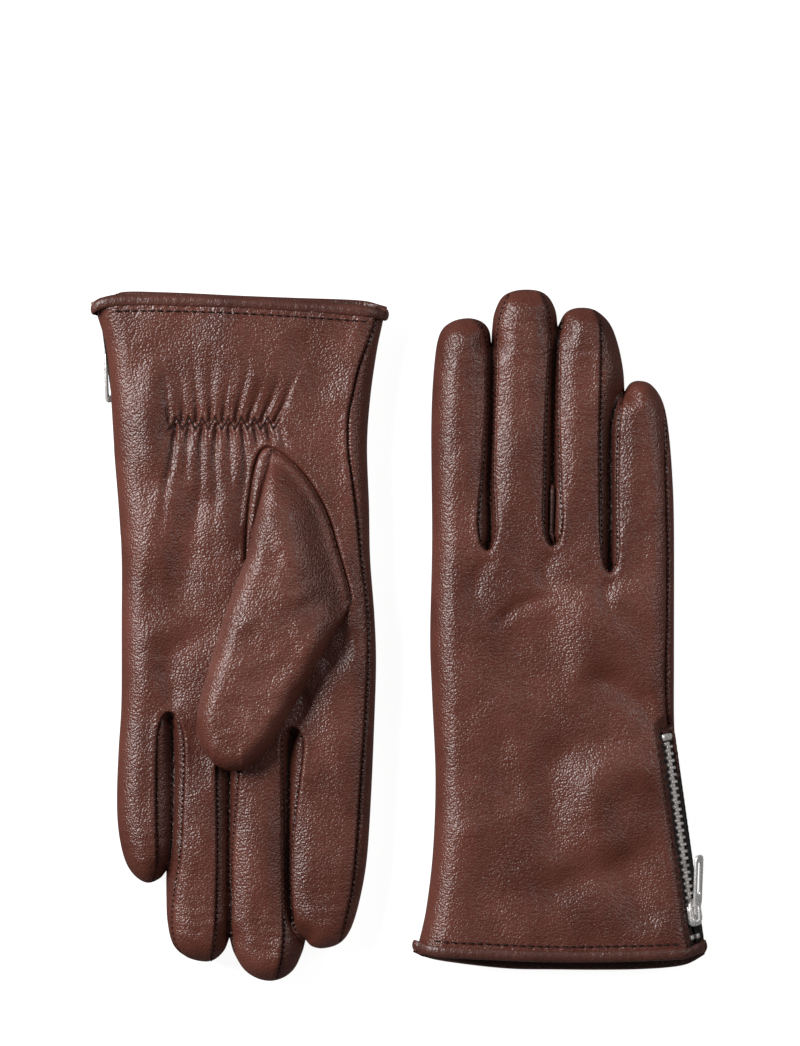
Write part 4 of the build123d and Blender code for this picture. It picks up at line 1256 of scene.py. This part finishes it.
def make_zip(hand, materials):
    """Tapes, teeth, stops, slider and pull, and the topstitching that holds the leather to the tapes."""
    for label, sign in (("inner", -1.0), ("outer", 1.0)):
        us = np.arange(-2.2, ZIP_END + 0.1, 0.8)
        vs = np.linspace(1.0, 5.8 if sign < 0 else hand["tape"], 6) * sign
        top = [(u, v, -0.95 - 0.10 * abs(sin(u * 1.3)) * (abs(v) > 3)) for u in us for v in vs]
        low = [(u, v, -1.5) for u in us for v in vs]
        w, h = len(vs), len(us)
        faces = []
        for i in range(h - 1):
            for j in range(w - 1):
                a = i * w + j
                faces.append((a, a + 1, a + w + 1, a + w))
                b = a + w * h
                faces.append((b, b + w, b + w + 1, b + 1))
            for j in (0, w - 1):
                a = i * w + j
                faces.append((a, a + w, a + w + w * h, a + w * h))
        tape = in_zip(hand, (top + low, faces))
        piece(hand, f"zip_tape_{label}_woven", tape, materials, "zip_tape", f"zip_tape_{label}")

        first = 0.8 if sign < 0 else 0.8 + TOOTH_PITCH / 2
        arm = block((1.1, 2.0, 2.3), (0, sign * 1.25, -1.25), 0.28)
        head = block((1.45, 1.5, 1.9), (0, -sign * 0.25, -1.2), 0.42)
        ridge = block((0.55, 1.3, 0.4), (0, sign * 1.2, 0.0), 0.16)
        tooth_points, tooth_faces = joined([arm, head, ridge])
        teeth = [(tooth_points + np.array([first + k * TOOTH_PITCH, 0, 0]), tooth_faces)
                 for k in range(TEETH)]
        row = in_zip(hand, joined(teeth))
        piece(hand, f"zip_teeth_{label}_row", row, materials, "zip_metal", f"zip_teeth_{label}", weld=False)

    bottom = joined([block((2.4, 5.2, 2.5), (-1.6, 0, -1.2), 0.5),
                     block((0.5, 5.3, 2.7), (-1.6, 0, -1.2), 0.2)])
    piece(hand, "zip_bottom_stop_clip", in_zip(hand, bottom), materials, "zip_metal", "zip_bottom_stop",
          weld=False)
    clips = joined([block((1.8, 2.0, 2.3), (70.0, s * 1.8, -1.25), 0.45) for s in (-1, 1)])
    piece(hand, "zip_top_stop_clips", in_zip(hand, clips), materials, "zip_metal", "zip_top_stops",
          weld=False)

    half = [(-4.3, 1.9), (-3.4, 2.6), (-1.0, 2.9), (1.6, 3.1), (3.4, 3.3), (4.3, 2.6), (4.5, 1.2)]
    outline = [(u + SLIDER_U, v) for u, v in half] + [(u + SLIDER_U, -v) for u, v in reversed(half)]
    top = plate(outline, [], 0.2, 1.15, 0.3)
    low = plate(outline, [], -3.75, -2.8, 0.3)
    sides = [block((6.4, 0.55, 1.1), (SLIDER_U + 0.4, s * 2.85, -0.2), 0.2) for s in (-1, 1)]
    sides += [block((6.4, 0.55, 1.2), (SLIDER_U + 0.4, s * 2.85, -2.35), 0.2) for s in (-1, 1)]
    post = block((1.6, 0.9, 4.4), (SLIDER_U + 3.2, 0, -1.3), 0.2)
    slider = in_zip(hand, joined([top, low, *sides, post, bail(SLIDER_U)]))
    piece(hand, "zip_slider_body", slider, materials, "slider_metal", "zip_slider", "slider", weld=False)
    piece(hand, "zip_pull_tab", pull_shape(hand), materials, "slider_metal", "zip_pull", "pull", weld=False)

    us = np.arange(-1.6, 73.0, 0.8)
    line = zip_point(hand, np.column_stack([us, np.full(len(us), WINDOW_IN - 1.7), np.zeros(len(us))]))
    across_top = zip_point(hand, np.column_stack([np.full(6, WINDOW_TOP - 1.4), np.linspace(-5.6, 3.0, 6),
                                                  np.zeros(6)]))
    rows = []
    for row in (line, resample(across_top, 0.8)):
        z, n = height_at(hand, "back", row)
        rows += dashes(np.column_stack([row[:, :2], z]) + n * 0.50, n, STITCH, STITCH_PITCH)
    wall = spline(hand["sides"][3], 0.8)
    wall = wall[(wall[:, 1] > 6) & (wall[:, 1] < 78)] - np.array([0.4, 0.0])
    z = np.full(len(wall), hand["thick"] / 2 + 2.6)
    sideways = np.tile([1.0, 0.0, 0.0], (len(wall), 1))
    rows += dashes(np.column_stack([wall, z]), sideways, STITCH, STITCH_PITCH)
    piece(hand, "zip_topstitch", stitch_mesh(rows, STITCH_R), materials, "thread", "zip_stitches")


def bail(u):
    """The slider's arch, in which the pull's bar turns."""
    outer = [(-3.2, 1.1), (-3.2, 2.5), (-2.5, 3.3), (-1.5, 3.5), (1.5, 3.5), (2.5, 3.3), (3.2, 2.5),
             (3.2, 1.1)]
    inner = [(-2.4, 1.1), (-2.4, 2.2), (-2.0, 2.6), (-1.3, 2.7), (1.3, 2.7), (2.0, 2.6), (2.4, 2.2),
             (2.4, 1.1)]
    count = len(outer)
    points = [(a + u, v, b) for v in (-0.75, 0.75) for a, b in outer + inner]
    faces = []
    for i in range(count - 1):
        faces.append((i, i + 1, count + i + 1, count + i))
        k = 2 * count
        faces.append((k + i, k + count + i, k + count + i + 1, k + i + 1))
        faces.append((i, k + i, k + i + 1, i + 1))
        faces.append((count + i, count + i + 1, k + count + i + 1, k + count + i))
    faces += [(0, count, 3 * count, 2 * count), (count - 1, 3 * count - 1, 4 * count - 1, 2 * count - 1)]
    return bevelled(points, faces, 0.22)


def pull_shape(hand):
    """The pull tab in the hand frame: a bar with a long slot, hung in the bail by its eye."""
    outline = [(0.55, 0.9), (0.3, 1.35), (-2.6, 1.7), (-4.2, 2.1), (-19.0, 2.25), (-20.3, 1.9),
               (-20.9, 1.0)]
    outline += [(u, -v) for u, v in reversed(outline)]
    slot_hole = round_rectangle(-18.6, -6.6, -0.95, 0.95, 0.94)
    eye = round_rectangle(-3.7, -0.5, -0.95, 0.95, 0.45)
    points, faces = plate(outline, [slot_hole, eye], -0.5, 0.5, 0.22)
    lift = radians(hand["pull_lift"])
    u, v, w = points[:, 0], points[:, 1], points[:, 2]
    turned = np.column_stack([u * cos(lift) + w * sin(lift), v, -u * sin(lift) + w * cos(lift)])
    turned = turned + np.array([SLIDER_U, 0.0, 1.95])
    return zip_point(hand, turned), faces


# ---------------------------------------------------------------- floor, light and camera


def make_stage():
    """A white table under the gloves, soft light from above and the camera looking straight down."""
    bpy.ops.mesh.primitive_plane_add(size=6.0, location=(0, 0, -0.0004))
    floor = bpy.context.object
    floor.name = "white_table"
    material, _, shader = nodes_of("white table")
    shader.inputs["Base Color"].default_value = (0.25, 0.25, 0.25, 1)
    shader.inputs["Roughness"].default_value = 0.9
    shader.inputs["Specular IOR Level"].default_value = 0.1
    shader.inputs["Emission Color"].default_value = (1, 1, 1, 1)
    shader.inputs["Emission Strength"].default_value = 0.93
    floor.data.materials.append(material)
    floor.visible_glossy = False

    scene = bpy.context.scene
    world = bpy.data.worlds.new("studio")
    world.use_nodes = True
    world.node_tree.nodes["Background"].inputs["Color"].default_value = (1, 1, 1, 1)
    world.node_tree.nodes["Background"].inputs["Strength"].default_value = 0.08
    scene.world = world
    for where, aim, size, power in (((-1.25, 0.60, 1.20), (0, 0.02, 0), 0.8, 54.0),
                                    ((1.2, 0.5, 1.2), (0, 0, 0), 0.8, 9.0)):
        lamp = bpy.data.lights.new("softbox", "AREA")
        lamp.shape = "SQUARE"
        lamp.size = size
        lamp.energy = power
        made = bpy.data.objects.new("softbox", lamp)
        made.location = where
        made.rotation_euler = (Vector(aim) - Vector(where)).to_track_quat("-Z", "Y").to_euler()
        scene.collection.objects.link(made)

    camera = bpy.data.cameras.new("camera")
    camera.sensor_fit = "VERTICAL"
    camera.sensor_width = 36.0
    camera.sensor_height = 36.0
    height = 1.5
    camera.lens = 36.0 * (height - 0.014) / 0.3713
    camera.clip_end = 10.0
    made = bpy.data.objects.new("camera", camera)
    made.location = (0.0, 0.040, height)
    scene.collection.objects.link(made)
    scene.camera = made
    scene.view_settings.view_transform = "Standard"


def main():
    find_origins()
    materials = make_materials()
    for hand in (RIGHT, LEFT):
        make_hand(hand, materials)
        make_thumb(hand, materials)
        make_cuff(hand, materials)
        make_elastic(hand, materials)
        make_seam_threads(hand, materials)
        make_zip(hand, materials)
    make_stage()


main()
